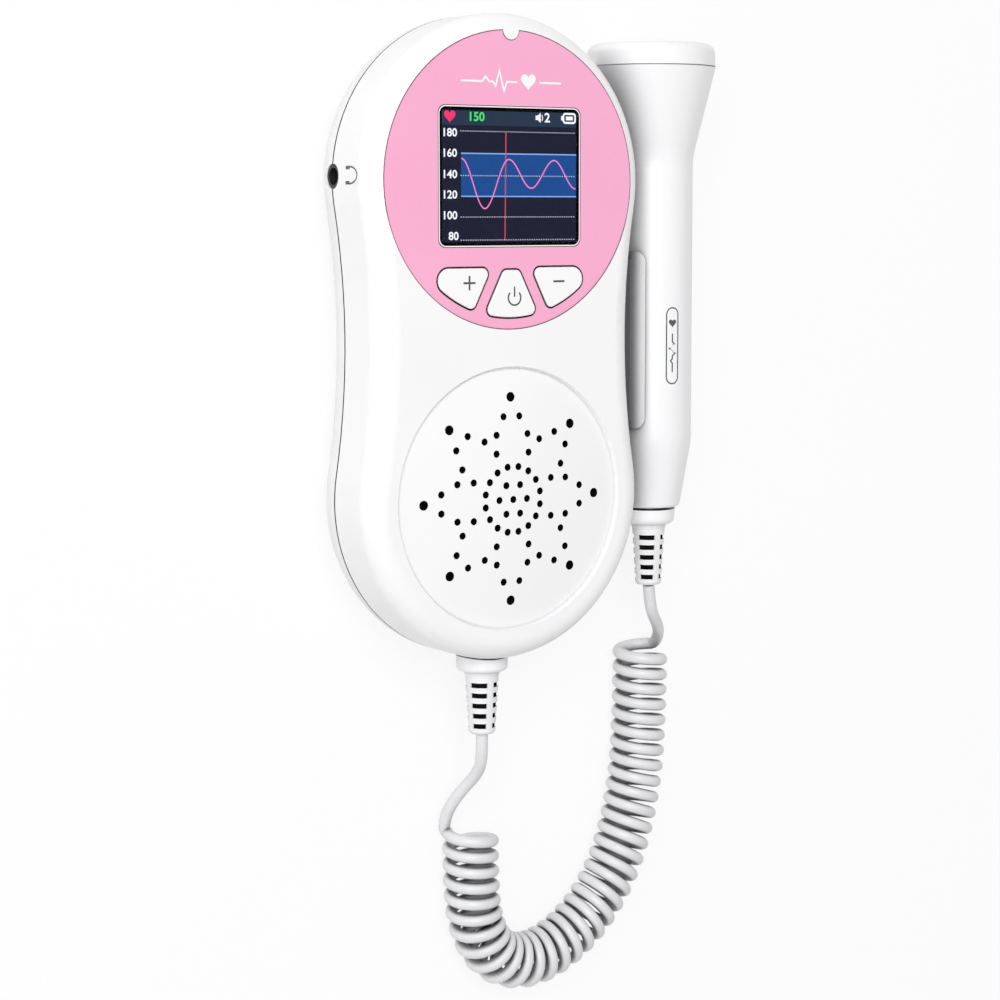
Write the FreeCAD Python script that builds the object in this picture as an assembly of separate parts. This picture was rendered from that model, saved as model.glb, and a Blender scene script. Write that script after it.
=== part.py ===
import FreeCAD, Part

import math
import os

from FreeCAD import Vector

# A hand-held fetal doppler monitor, lying on its back, with its probe docked at its
# right side and a curly cord between the two. Millimetres. +X is the device's right,
# +Y points to the display end, +Z out of the front face. The origin is the middle of
# the flat back.

X_DIR = Vector(1, 0, 0)
Y_DIR = Vector(0, 1, 0)
Z_DIR = Vector(0, 0, 1)

# ---- case -------------------------------------------------------------------------
case_depth = 28.0            # back to front face
front_depth = 14.7           # parting plane of the two shells to the front face
seam_gap = 0.35              # shadow line between them
head_y = 33.8                # centre of the round display end
tail_y = -33.8               # centre of the round speaker end
head_radius = 35.0
tail_radius = 35.1
waist_radius = 170.0         # hollow flank between the two rounds
front_edge_radius = 4.7
front_wall = 2.0
back_wall = 2.2
back_taper = 15.0            # how far the back curves in, seen from behind
back_rim = 0.4               # upright band under the seam
lip_height = 1.6             # tongue of the back shell inside the front shell
lip_wall = 1.0
lip_root = 3.0
slip = 0.1                   # clearance between parts that are fitted together

# ---- face plate, window and keys --------------------------------------------------
plate_margin = 3.75          # white ring of the case round the plate
plate_thickness = 1.0
plate_sink = 0.1
plate_gap = 0.15
notch_radius = 2.0           # white boss of the case that bites into the plate
screen_width = 35.4
screen_height = 28.75
screen_x = -0.1
screen_rise = 0.75           # above the centre of the display end
screen_corner = 1.5
screen_rim = 0.25            # white edge of the case round the window
window_thickness = 0.8
window_ledge = 0.35
key_top_drop = 18.3          # below the centre of the display end
power_top_drop = 18.75
key_margin = 2.45            # from the outer edge of the keys to the edge of the plate
key_corner = 1.35
key_tip_corner = 2.6         # upper outer corner of the side keys
key_split_top = 5.1          # inner edge of the side keys at their top
key_split_foot = 10.2        # and where it meets the foot line
key_foot_drop = 28.4
power_half_top = 2.0
power_half_foot = 6.9
key_gap = 0.35
key_proud = 0.2
key_edge = 0.3
key_flange = 0.8             # hidden rim that keeps a key in its hole
key_flange_thickness = 0.8
key_travel = 0.4

# ---- electronics ------------------------------------------------------------------
board_thickness = 1.6
board_drop = 10.8            # from the front face to the underside of the board
board_side_margin = 1.0      # past the display
board_foot_gap = 4.3         # to the battery bay
board_wall_gap = 1.0         # to the round wall
board_corner = 3.0
board_tab_gap = 1.0          # from the tab under the headphone socket to the wall
board_tab_half = 4.6
display_side_margin = 2.55   # past the window
display_end_margin = 2.8
display_thickness = 2.8
display_drop = 0.2           # gap from the case to the display's body
display_glass_gap = 0.1      # its raised glass in the opening, at each side
display_glass_drop = 0.05    # and under the window
carrier_wall = 0.7
carrier_bore_inset = 2.0
carrier_rim = 1.2
board_post_margin = 2.3      # from a post's axis to the edge of the board
board_post_inset = 4.0       # upper posts, from the side of the display
board_post_gap = 0.4         # and above its carrier
board_post_radius = 2.2
board_screw_radius = 0.8
board_screw_length = 6.0
switch_size = 6.0
switch_height = 3.5
switch_bore_depth = 1.6
switch_stem_radius = 1.6
switch_stem_margin = 0.2     # left under the stem when the key is down
stem_top_rise = 1.7          # stem above its housing
key_post_radius = 1.5
side_switch_x = 12.2
side_switch_gap = 1.6        # to the display carrier
power_switch_gap = 4.0

# ---- speaker ----------------------------------------------------------------------
dish_margin = 6.7            # case round the round well of the grille
dish_brim_slope = 0.5        # the well's wall leans in by this
dome_radius = 227.0          # bend of the grille that fills the well
dome_rise = 0.7              # its crown above the front face
grille_wall = 1.85           # over the cone
grille_depth = 3.3           # from the front face to the seat of the speaker
speaker_hole_radius = 0.78
speaker_tip_radius = 1.05
speaker_rings = [(6, 3.54, 30.0), (16, 7.11, 11.25), (8, 10.74, 22.5)]   # count, radius, first angle
speaker_arm_count = 8
speaker_arm_pairs = [(14.45, 15.92), (17.87, 6.52)]   # radius, angle to each side of the arm
speaker_tip_reach = 21.9
speaker_radius = 18.0
speaker_flange = 0.8
speaker_basket_radius = 10.5
speaker_depth = 3.2
speaker_wall = 0.7
speaker_ring_wall = 1.2
speaker_ring_height = 3.6
cone_thickness = 0.35
cone_rim_radius = 16.0
cone_cap_radius = 5.0
cone_drop = 1.8
gasket_thickness = 0.6
gasket_width = 1.5
magnet_radius = 9.0
magnet_thickness = 2.2
magnet_gap = 0.5             # to the battery bay

# ---- headphone socket -------------------------------------------------------------
socket_rise = 0.8            # above the centre of the display end
socket_bore_radius = 1.8     # for a 3.5 mm plug
socket_bore_length = 14.0
socket_nose_radius = 2.45
socket_hole_radius = 2.65
socket_nose_sink = 0.3
socket_half_width = 3.2
socket_body_below = 2.9      # body under the plug axis
socket_body_gap = 0.5        # from the curved wall

# ---- batteries (two AA cells) and their door --------------------------------------
cell_length = 50.5
cell_nub_radius = 2.7
cell_nub_length = 1.0
cell_side_gap = 0.1
cell_floor_z = 2.4
bay_side_gap = 0.35
bay_wall = 1.0
bay_roof_gap = 0.3
bay_rise = 3.0               # middle of the bay above the centre of the speaker end
contact_thickness = 0.5
contact_margin = 1.0
spring_length = 2.3
spring_inset = 3.85          # inside the edge of the cell
spring_wall = 0.5
door_thickness = 1.4
door_sink = 0.15
door_side_lap = 0.8          # over the edge of the bay
door_gap = 0.2
door_head_step = 1.8         # the bay reaches this far under the case
door_top_drop = 5.9          # the door wraps up the cord end to here, below the seam
door_grip_count = 6
door_grip_pitch = 2.4
door_grip_width = 1.0
door_grip_depth = 0.4
door_grip_half = 7.5
door_grip_inset = 18.9       # of the first groove from the cord end
latch_half_width = 3.0
latch_thickness = 0.9
latch_reach = 1.4
latch_length = 5.0

# ---- case screws ------------------------------------------------------------------
screw_display_gap = 1.0      # from an upper post to the display carrier
screw_head_rise = 10.7       # upper pair above the display centre
screw_bay_gap = 2.5          # from a lower post to the battery bay
screw_tail_drop = 12.0       # lower pair below the speaker centre
screw_post_radius = 3.0
screw_shank_radius = 1.15
screw_top_radius = 2.1
screw_top_height = 1.4
screw_well_radius = 2.4
screw_seat_z = 5.2
screw_grip = 4.9             # thread past the seam
screw_slot_width = 0.5
screw_slot_reach = 1.2
screw_slot_depth = 0.7

# ---- cord glands ------------------------------------------------------------------
gland_rise = 3.0             # of the cord's exit above the seam
gland_half_width = 4.2       # the seam steps up to the cord over this width
collar_radius = 5.7
collar_length = 3.65         # outside the case
collar_edge = 1.1
boot_root_radius = 3.7
boot_tip_radius = 2.95
boot_length = 14.0
boot_neck_radius = 3.2
boot_flange_radius = 4.1
boot_flange_length = 1.2
boot_anchor_radius = 4.6
boot_anchor_length = 1.6
boot_anchor_inset = 4.9      # from the outside of the case
boot_slot_rows = 5
boot_slot_pitch = 2.28
boot_slot_height = 1.1
boot_slot_first = 3.0
boot_core_radius = 2.0
boot_rib_width = 1.5
cord_radius = 1.35

# ---- probe ------------------------------------------------------------------------
dock_reach = 4.45            # from the narrowest part of the case to the handle
probe_rise = 2.2             # of its axis above the seam
probe_wall = 1.8
handle_radius = 9.5
cap_seam_y = 59.2
cap_length = 5.2
cap_rim_radius = 14.4
cap_face_radius = 14.2
cap_edge_radius = 2.2
cap_wall = 1.5
cap_gap = 0.25
cap_spigot = 3.0
cap_spigot_gap = 1.2         # to the handle's bore at the seam
flare_length = 19.8          # cone of the head
taper_y = -24.4              # where the handle starts to narrow
taper_length = 14.95
taper_radius = 6.95
handle_bend_radius = 18.0    # where the grip turns into either cone
handle_foot_edge = 0.8
end_cap_length = 3.5
end_cap_gap = 0.55
end_cap_root_radius = 6.0
end_cap_tip_radius = 5.8
end_cap_edge = 1.5
end_cap_spigot = 4.0
end_cap_spigot_radius = 4.6
disc_count = 6               # round a middle one
disc_gap = 0.4
disc_thickness = 1.0
backing_thickness = 4.0
seal_radius = 0.55
seal_sink = 0.3              # of the seal's centre into the cap
probe_board_width = 11.0
probe_board_length = 52.0
probe_board_thickness = 1.2
probe_board_inset = 10.0     # above the start of the taper
keeper_width = 6.0
keeper_length = 30.0
keeper_thickness = 1.0

# ---- dock for the probe -----------------------------------------------------------
dock_gap = 0.3               # round the handle
dock_wall = 1.4
dock_half_angle = 47.5
dock_top_y = 18.5
dock_foot_y = -20.9
dock_corner = 2.4
dock_foot_length = 36.0      # pedestal on the case flank
dock_foot_rise = 0.6         # above the seam
dock_foot_height = 7.4
dock_magnet_radius = 2.5
dock_magnet_depth = 1.6
dock_magnet_y = 7.5
dock_magnet_cover = 0.6      # plastic between a magnet and the handle
dock_screw_y = 2.6
dock_screw_radius = 0.9
dock_screw_top_radius = 1.7
dock_screw_top_height = 1.0
dock_screw_reach = 1.6

# ---- cord -------------------------------------------------------------------------
coil_radius = 6.4
coil_z = 6.45
unit_lead_route = [(0.0, -86.55, 16.3), (0.0, -90.6, 16.3), (0.6, -94.2, 14.9), (1.0, -97.0, 12.3),
                   (0.1, -100.1, 9.3), (-1.2, -103.4, 6.8), (-1.9, -107.0, 4.5), (-1.8, -110.7, 3.3),
                   (-1.0, -114.4, 3.1)]
coil_route = [(3.3, -111.6, coil_z), (3.3, -123.4, coil_z), (4.7, -134.0, coil_z),
              (9.7, -141.6, coil_z), (18.9, -144.2, coil_z), (29.2, -140.6, coil_z),
              (38.1, -133.2, coil_z), (44.9, -122.3, coil_z), (49.2, -107.1, coil_z),
              (50.6, -90.5, coil_z), (50.8, -73.6, coil_z)]
probe_lead_route = [(55.9, -77.2, 4.5), (55.8, -73.8, 6.2), (54.7, -70.7, 8.5), (52.2, -67.9, 11.2),
                    (49.1, -65.1, 13.4), (47.1, -61.8, 15.0), (46.3, -57.7, 15.5)]


def waist_centre():
    # centre of the flank arc, which touches both rounds from outside
    reach_head = head_radius + waist_radius
    reach_tail = tail_radius + waist_radius
    span = head_y - tail_y
    up = (reach_tail ** 2 - reach_head ** 2 + span ** 2) / (2 * span)
    return Vector(math.sqrt(reach_tail ** 2 - up ** 2), tail_y + up, 0)


# ---- what follows from the sizes above --------------------------------------------
seam_z = case_depth - front_depth
inner_front_z = case_depth - front_wall
plate_radius = head_radius - plate_margin
key_arc_radius = plate_radius - key_margin
probe_z = seam_z + probe_rise
probe_x = waist_centre().x - waist_radius + dock_reach + handle_radius
plate_front_z = case_depth - plate_sink
plate_back_z = plate_front_z - plate_thickness
window_back_z = plate_front_z - window_thickness
front_low_z = seam_z + seam_gap / 2
back_top_z = seam_z - seam_gap / 2
back_curve_z = back_top_z - back_rim
screen_y = head_y + screen_rise
display_width = screen_width + 2 * display_side_margin
display_height = screen_height + 2 * display_end_margin
carrier_reach = slip + carrier_wall
carrier_top_y = screen_y + display_height / 2 + carrier_reach
carrier_low_y = screen_y - display_height / 2 - carrier_reach
side_switch_y = carrier_low_y - side_switch_gap - switch_size / 2
power_switch_y = carrier_low_y - power_switch_gap - switch_size / 2
board_bottom_z = case_depth - board_drop
board_top_z = board_bottom_z + board_thickness
display_front_z = inner_front_z - display_drop
display_back_z = display_front_z - display_thickness
dish_radius = tail_radius - dish_margin
grille_radius = dish_radius - dish_brim_slope
dish_inner_z = case_depth - grille_depth
gasket_low_z = dish_inner_z - gasket_thickness
speaker_back_z = gasket_low_z - speaker_depth
magnet_low_z = speaker_back_z - magnet_thickness
key_top_z = case_depth + key_proud
key_flange_top_z = inner_front_z - slip
key_flange_low_z = key_flange_top_z - key_flange_thickness
switch_top_z = board_top_z + switch_height
stem_top_z = switch_top_z + stem_top_rise
bay_roof_z = magnet_low_z - magnet_gap - bay_wall
cell_radius = (bay_roof_z - bay_roof_gap - cell_floor_z) / 2   # the cells fill the room there
cell_x = cell_radius + cell_side_gap / 2
cell_z = cell_floor_z + cell_radius
spring_radius = cell_radius - spring_inset
bay_length = cell_length + spring_length + 2 * (contact_thickness + slip)
bay_foot_y = tail_y + bay_rise - bay_length / 2
bay_head_y = bay_foot_y + bay_length
bay_half_width = cell_x + cell_radius + bay_side_gap
door_half_width = bay_half_width + door_side_lap
door_head_y = bay_head_y - door_head_step
door_top_z = seam_z - door_top_drop
screw_head_x = display_width / 2 + carrier_reach + screw_display_gap + screw_post_radius
screw_tail_x = bay_half_width + bay_wall + screw_bay_gap + screw_post_radius
screw_length = seam_z + screw_grip - screw_seat_z
case_foot_y = tail_y - tail_radius
collar_foot_y = case_foot_y - collar_length
boot_anchor_y = case_foot_y + boot_anchor_inset
gland_z = seam_z + gland_rise
door_grip_y = case_foot_y + door_grip_inset
socket_y = head_y + socket_rise
board_half_width = display_width / 2 + board_side_margin
board_foot_y = bay_head_y + bay_wall + board_foot_gap
board_post_low_x = board_half_width - board_post_margin
board_post_low_y = board_foot_y + board_post_margin
board_post_high_x = display_width / 2 - board_post_inset
board_post_high_y = carrier_top_y + board_post_gap + board_post_radius
board_top_y = board_post_high_y + board_post_margin
probe_board_foot_y = taper_y + probe_board_inset
handle_foot_y = taper_y - taper_length
end_cap_top_y = handle_foot_y - end_cap_gap
end_cap_foot_y = end_cap_top_y - end_cap_length
dock_bore_radius = handle_radius + dock_gap
dock_foot_low_z = seam_z + dock_foot_rise
dock_foot_high_z = dock_foot_low_z + dock_foot_height
dock_middle_y = (dock_top_y + dock_foot_y) / 2
dock_middle_z = (dock_foot_low_z + dock_foot_high_z) / 2
cap_low_y = cap_seam_y + cap_gap
cap_top_y = cap_seam_y + cap_length
cap_spigot_radius = cap_rim_radius - probe_wall - cap_spigot_gap
cap_room_radius = cap_spigot_radius - cap_wall
cap_room_y = cap_top_y - cap_wall
seal_y = cap_low_y - cap_spigot / 2


# ---- small tools ------------------------------------------------------------------

def cylinder(radius, length, base, direction=Z_DIR):
    return Part.makeCylinder(radius, length, base, direction)


def box(x0, x1, y0, y1, z0, z1):
    return Part.makeBox(x1 - x0, y1 - y0, z1 - z0, Vector(x0, y0, z0))


def prism(wire, height):
    return Part.Face(wire).extrude(Vector(0, 0, height))


def rounded_block(width, height, corner, x, y, z0, z1):
    block = box(x - width / 2, x + width / 2, y - height / 2, y + height / 2, z0, z1)
    return block.makeFillet(corner, upright_edges(block))


def upright_edges(shape):
    found = []
    for edge in shape.Edges:
        first, last = edge.Vertexes[0].Point, edge.Vertexes[-1].Point
        if abs(first.x - last.x) + abs(first.y - last.y) < 1e-6 and abs(first.z - last.z) > 1e-6:
            found.append(edge)
    return found


def edges_at_height(shape, z):
    return [edge for edge in shape.Edges
            if abs(edge.BoundBox.ZMin - z) < 1e-4 and abs(edge.BoundBox.ZMax - z) < 1e-4]


def turned(profile, axis_point, axis):
    # a closed run of points turned a full circle about an axis
    face = Part.Face(Part.makePolygon([Vector(*point) for point in profile + [profile[0]]]))
    return face.revolve(axis_point, axis, 360)


def turned_y(profile, x, z):
    # (radius, y) pairs turned about a line along Y
    points = [(x + radius, y, z) for radius, y in profile]
    return turned(points, Vector(x, 0, z), Y_DIR)


def turned_z(profile, x, y):
    # (radius, z) pairs turned about a line along Z
    points = [(x + radius, y, z) for radius, z in profile]
    return turned(points, Vector(x, y, 0), Z_DIR)


def ring_y(outer, inner, y0, y1, x, z):
    base = Vector(x, y0, z)
    return cylinder(outer, y1 - y0, base, Y_DIR).cut(cylinder(inner, y1 - y0, base, Y_DIR))


def together(shapes):
    return Part.makeCompound(shapes)


def joined(shapes):
    first, rest = shapes[0], shapes[1:]
    return first.fuse(rest).removeSplitter() if rest else first


# ---- outline of the case ----------------------------------------------------------

def outline(inset, z):
    # the case seen from the front, moved inwards by inset
    head = Vector(0, head_y, 0)
    tail = Vector(0, tail_y, 0)
    waist = waist_centre()
    head_touch = head + (waist - head).normalize() * (head_radius - inset)
    tail_touch = tail + (waist - tail).normalize() * (tail_radius - inset)
    flank = Vector(waist.x - waist_radius - inset, waist.y, 0)
    crown = Vector(0, head_y + head_radius - inset, 0)
    foot = Vector(0, tail_y - tail_radius + inset, 0)

    def mirrored(point):
        return Vector(-point.x, point.y, 0)

    arcs = [Part.Arc(head_touch, crown, mirrored(head_touch)),
            Part.Arc(mirrored(head_touch), mirrored(flank), mirrored(tail_touch)),
            Part.Arc(mirrored(tail_touch), foot, tail_touch),
            Part.Arc(tail_touch, flank, head_touch)]
    wire = Part.Wire([arc.toShape() for arc in arcs])
    wire.translate(Vector(0, 0, z))
    return wire


def hull(inset, top_z=None):
    # the back half as a solid, its skin moved inwards by inset
    drop = back_curve_z - inset
    wires = []
    for step in (0, 13, 26, 39, 52, 65, 78, 90):
        angle = math.radians(step)
        wires.append(outline(inset + back_taper * (1 - math.cos(angle)),
                             back_curve_z - drop * math.sin(angle)))
    curved = Part.makeLoft(wires, True, False)
    band = prism(outline(inset, back_curve_z), (top_z or back_top_z) - back_curve_z)
    return curved.fuse(band)


def front_block(inset, edge_radius, top_z, low_z):
    block = prism(outline(inset, low_z), top_z - low_z)
    return block.makeFillet(edge_radius, edges_at_height(block, top_z))


def case_solid():
    # all that lies inside the outer skin, with the front edge left square
    return joined([hull(0, seam_z), prism(outline(0, seam_z), case_depth)])


# ---- keys -------------------------------------------------------------------------

def key_outline(corners, tip_corner):
    # the key's straight edges, closed by the arc that follows the round case; the corner
    # farthest from the middle has a radius of its own
    slab = Part.Face(Part.makePolygon([Vector(x, head_y + y, 0) for x, y in corners + corners[:1]]))
    disc = Part.Face(Part.Wire(Part.makeCircle(key_arc_radius, Vector(0, head_y, 0))))
    block = slab.common(disc).Faces[0].extrude(Z_DIR)
    tip = max(abs(edge.Vertexes[0].X) for edge in upright_edges(block))
    block = block.makeFillet(key_corner, [edge for edge in upright_edges(block)
                                          if abs(edge.Vertexes[0].X) < tip - 1e-3])
    block = block.makeFillet(tip_corner, [edge for edge in upright_edges(block)
                                          if abs(edge.Vertexes[0].X) > tip - 1e-3])
    floor = [face for face in block.Faces if face.BoundBox.ZMax < 1e-6][0]
    return floor.OuterWire


def side_key_outline():
    # the inner edge carries on past the foot line, and the arc cuts it off
    slope = (key_split_foot - key_split_top) / (key_foot_drop - key_top_drop)
    far = key_arc_radius + key_corner
    return key_outline([(-key_split_top, -key_top_drop), (-far, -key_top_drop), (-far, -far),
                        (-key_split_top - slope * (far - key_top_drop), -far)], key_tip_corner)


def power_key_outline():
    slope = (power_half_foot - power_half_top) / (key_foot_drop - power_top_drop)
    far = key_arc_radius + key_corner
    foot = power_half_top + slope * (far - power_top_drop)
    return key_outline([(power_half_top, -power_top_drop), (-power_half_top, -power_top_drop),
                        (-foot, -far), (foot, -far)], key_corner)


def key_prism(wire, grow, z0, z1):
    shape = wire.makeOffset2D(grow) if grow else wire.copy()
    shape.translate(Vector(0, 0, z0))
    return prism(shape, z1 - z0)


def key_cap(wire, middle):
    cap = key_prism(wire, 0, key_flange_top_z, key_top_z)
    cap = cap.makeFillet(key_edge, edges_at_height(cap, key_top_z))
    flange = key_prism(wire, key_flange, key_flange_low_z, key_flange_top_z)
    post = cylinder(key_post_radius, key_flange_low_z - stem_top_z,
                    Vector(middle[0], middle[1], stem_top_z))
    return joined([cap, flange, post])


def key_stem(middle):
    low = switch_top_z - switch_bore_depth + key_travel + switch_stem_margin
    return cylinder(switch_stem_radius, stem_top_z - low, Vector(middle[0], middle[1], low))


def key_places():
    # switches of plus, power and minus
    return [(-side_switch_x, side_switch_y), (0, power_switch_y), (side_switch_x, side_switch_y)]


# ---- case -------------------------------------------------------------------------

def case_screw_places():
    places = []
    for side in (-1, 1):
        places.append((side * screw_head_x, head_y + screw_head_rise))
        places.append((side * screw_tail_x, tail_y - screw_tail_drop))
    return places


def board_post_places():
    return [(side * x, y) for side in (-1, 1)
            for x, y in ((board_post_low_x, board_post_low_y), (board_post_high_x, board_post_high_y))]


def speaker_holes():
    # rings round a middle hole, then arms that narrow to a larger hole; angles from the +Y direction
    spots = [(0.0, 0.0, speaker_hole_radius)]
    for count, radius, start in speaker_rings:
        for index in range(count):
            spots.append((radius, start + index * 360.0 / count, speaker_hole_radius))
    for arm in range(speaker_arm_count):
        middle = arm * 360.0 / speaker_arm_count
        for radius, spread in speaker_arm_pairs:
            spots.append((radius, middle - spread, speaker_hole_radius))
            spots.append((radius, middle + spread, speaker_hole_radius))
        spots.append((speaker_tip_reach, middle, speaker_tip_radius))
    drills = []
    for radius, angle, hole in spots:
        turn = math.radians(angle)
        base = Vector(radius * math.sin(turn), tail_y + radius * math.cos(turn), dish_inner_z - 1)
        drills.append(cylinder(hole, grille_depth + dome_rise + 2, base))
    return together(drills)


def dome_top(radius, depth):
    # height of the domed grille, or of a face a depth under it
    bend = dome_radius - depth
    return case_depth + dome_rise - dome_radius + math.sqrt(bend ** 2 - radius ** 2)


def dish_well():
    # the round well in the front face that the grille fills
    foot_z = dome_top(grille_radius, 0)
    slope = dish_brim_slope / (case_depth - foot_z)
    mouth = dish_radius + slope
    return turned_z([(0, inner_front_z - 1), (grille_radius, inner_front_z - 1), (grille_radius, foot_z),
                     (mouth, case_depth + 1), (0, case_depth + 1)], 0, tail_y)


def dome_plug(radius, low_z, depth):
    # a round block with a domed top, a depth under the skin of the grille
    rim = Vector(radius, tail_y, dome_top(radius, depth))
    half = Vector(radius / 2, tail_y, dome_top(radius / 2, depth))
    crown = Vector(0, tail_y, dome_top(0, depth))
    rest = Part.makePolygon([crown, Vector(0, tail_y, low_z), Vector(radius, tail_y, low_z), rim])
    face = Part.Face(Part.Wire([Part.Arc(rim, half, crown).toShape()] + rest.Edges))
    return face.revolve(Vector(0, tail_y, 0), Z_DIR, 360)


def socket_hole():
    reach = head_radius
    return cylinder(socket_hole_radius, reach, Vector(-head_radius - 2, socket_y, seam_z), X_DIR)


def gland_hole():
    return cylinder(boot_neck_radius + slip, tail_radius / 2, Vector(0, collar_foot_y, gland_z), Y_DIR)


def gland_step(grow, low_z):
    # the wall under the cord, which belongs to the back shell
    half = gland_half_width + grow
    return box(-half, half, case_foot_y - 1, case_foot_y + front_wall + slip + lip_wall,
               low_z, gland_z + grow)


def front_shell(keys):
    shell = front_block(0, front_edge_radius, case_depth, front_low_z)
    cavity = front_block(front_wall, front_edge_radius - front_wall, inner_front_z, front_low_z)
    shell = shell.cut(cavity).cut(dish_well())

    dish_back = cylinder(dish_radius + 1, inner_front_z - dish_inner_z, Vector(0, tail_y, dish_inner_z))
    speaker_ring = cylinder(speaker_radius + slip + speaker_ring_wall, speaker_ring_height,
                            Vector(0, tail_y, dish_inner_z - speaker_ring_height))
    speaker_ring = speaker_ring.cut(cylinder(speaker_radius + slip, speaker_ring_height,
                                             Vector(0, tail_y, dish_inner_z - speaker_ring_height)))
    posts = [cylinder(screw_post_radius, inner_front_z - front_low_z, Vector(x, y, front_low_z))
             for x, y in case_screw_places()]
    posts += [cylinder(board_post_radius, inner_front_z - board_top_z, Vector(x, y, board_top_z))
              for x, y in board_post_places()]
    grille = dome_plug(grille_radius, inner_front_z, 0)
    shell = joined([shell, dish_back, grille, speaker_ring] + posts)

    pocket = cylinder(plate_radius + plate_gap, case_depth, Vector(0, head_y, plate_back_z))
    boss = cylinder(notch_radius, case_depth, Vector(0, head_y + plate_radius, plate_back_z))
    rim = rounded_block(screen_width + 2 * screen_rim, screen_height + 2 * screen_rim,
                        screen_corner + screen_rim, screen_x, screen_y, plate_back_z, 2 * case_depth)
    shell = shell.cut(pocket.cut(boss).cut(rim))
    sill = rounded_block(screen_width + 2 * screen_rim, screen_height + 2 * screen_rim,
                         screen_corner + screen_rim, screen_x, screen_y, plate_front_z, 2 * case_depth)
    shell = shell.cut(sill)

    window = rounded_block(screen_width, screen_height, screen_corner, screen_x, screen_y,
                           window_back_z, 2 * case_depth)
    light = rounded_block(screen_width - 2 * window_ledge, screen_height - 2 * window_ledge,
                          screen_corner - window_ledge, screen_x, screen_y,
                          inner_front_z - 1, 2 * case_depth)
    cuts = [window, light, dome_plug(cone_rim_radius, dish_inner_z - 1, grille_wall), speaker_holes(),
            socket_hole(), gland_hole(), gland_step(slip, front_low_z - 1)]
    cuts += [key_prism(wire, key_gap, inner_front_z - 1, case_depth) for wire in keys]
    cuts += [cylinder(screw_shank_radius, screw_length + slip, Vector(x, y, screw_seat_z))
             for x, y in case_screw_places()]
    cuts += [cylinder(board_screw_radius, board_screw_length, Vector(x, y, board_bottom_z))
             for x, y in board_post_places()]
    cuts += dock_screw_holes()
    for cutter in cuts:
        shell = shell.cut(cutter)
    return shell


def back_shell():
    shell = hull(0)
    cavity = hull(back_wall, seam_z + 1)
    wide = bay_half_width + bay_wall
    bay_block = box(-wide, wide, bay_foot_y - bay_wall, bay_head_y + bay_wall, 0, bay_roof_z + bay_wall)
    end_ledge = box(-wide, wide, case_foot_y - bay_wall, bay_foot_y,
                    door_top_z - bay_wall, door_top_z + bay_wall)
    posts = [cylinder(screw_post_radius, back_top_z, Vector(x, y, 0)) for x, y in case_screw_places()]
    lip = prism(outline(front_wall + slip, seam_z - lip_root), lip_root + lip_height)
    lip = lip.cut(prism(outline(front_wall + slip + lip_wall, seam_z - lip_root), lip_root + lip_height))
    lip = joined([lip, prism(outline(front_wall - slip, seam_z - lip_root), lip_root - seam_gap / 2)
                  .cut(prism(outline(front_wall + slip + lip_wall, seam_z - lip_root), lip_root))])
    room = joined([hull(0), prism(outline(back_wall, back_curve_z), case_depth)])
    inside = [block.common(room) for block in [bay_block, end_ledge] + posts]
    step = gland_step(0, back_curve_z).common(prism(outline(0, 0), case_depth))
    shell = joined([shell.cut(cavity), lip, step] + inside)

    bay = box(-bay_half_width, bay_half_width, bay_foot_y, bay_head_y, back_wall, bay_roof_z)
    mouth = box(-bay_half_width, bay_half_width, bay_foot_y, door_head_y, -1, bay_roof_z)
    cuts = [bay, mouth, door_layer(door_gap, -1, door_thickness + door_sink + slip),
            socket_hole(), gland_hole(), gland_room(), socket_room()]
    for x, y in case_screw_places():
        cuts.append(cylinder(screw_shank_radius + slip, case_depth, Vector(x, y, 0)))
        cuts.append(cylinder(screw_well_radius, screw_seat_z + 1, Vector(x, y, -1)))
    for cutter in cuts:
        shell = shell.cut(cutter)
    return shell


def gland_room():
    # inside clearance round the anchor of the boot
    return cylinder(boot_anchor_radius + slip, boot_anchor_length + 2 * slip,
                    Vector(0, boot_anchor_y - slip, gland_z), Y_DIR)


def socket_room():
    return box(-head_radius + front_wall, 0, socket_y - socket_half_width - slip,
               socket_y + socket_half_width + slip, seam_z - socket_body_below - slip, case_depth)


def door_layer(grow, low, high):
    # the part of the back skin between two depths that the door covers
    outside = hull(0, back_top_z) if low < 0 else hull(low, back_top_z)
    field = box(-door_half_width - grow, door_half_width + grow, case_foot_y - 1,
                door_head_y + grow, -1, door_top_z + grow)
    return outside.common(field).cut(hull(high, seam_z + 1))


def battery_door():
    door = door_layer(0, door_sink, door_sink + door_thickness)
    top_z = door_sink + door_thickness
    tongue_z = back_wall + slip
    tongue = box(-latch_half_width, latch_half_width, door_head_y - latch_length,
                 door_head_y + latch_reach, tongue_z, tongue_z + latch_thickness)
    root = box(-latch_half_width, latch_half_width, door_head_y - latch_length,
               door_head_y - slip, top_z - slip, tongue_z + latch_thickness)
    door = joined([door, tongue, root])
    for index in range(door_grip_count):
        y = door_grip_y - index * door_grip_pitch
        reach = door_grip_half - index
        door = door.cut(box(-reach, reach, y - door_grip_width, y, -1, door_sink + door_grip_depth))
    return door


def case_screws():
    screws = []
    for x, y in case_screw_places():
        shank = cylinder(screw_shank_radius, screw_length, Vector(x, y, screw_seat_z))
        top = cylinder(screw_top_radius, screw_top_height, Vector(x, y, screw_seat_z - screw_top_height))
        slots = [box(x - a, x + a, y - b, y + b, 0, screw_seat_z - screw_top_height + screw_slot_depth)
                 for a, b in ((screw_slot_reach, screw_slot_width / 2),
                              (screw_slot_width / 2, screw_slot_reach))]
        screws.append(joined([shank, top]).cut(slots))
    return together(screws)


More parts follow.
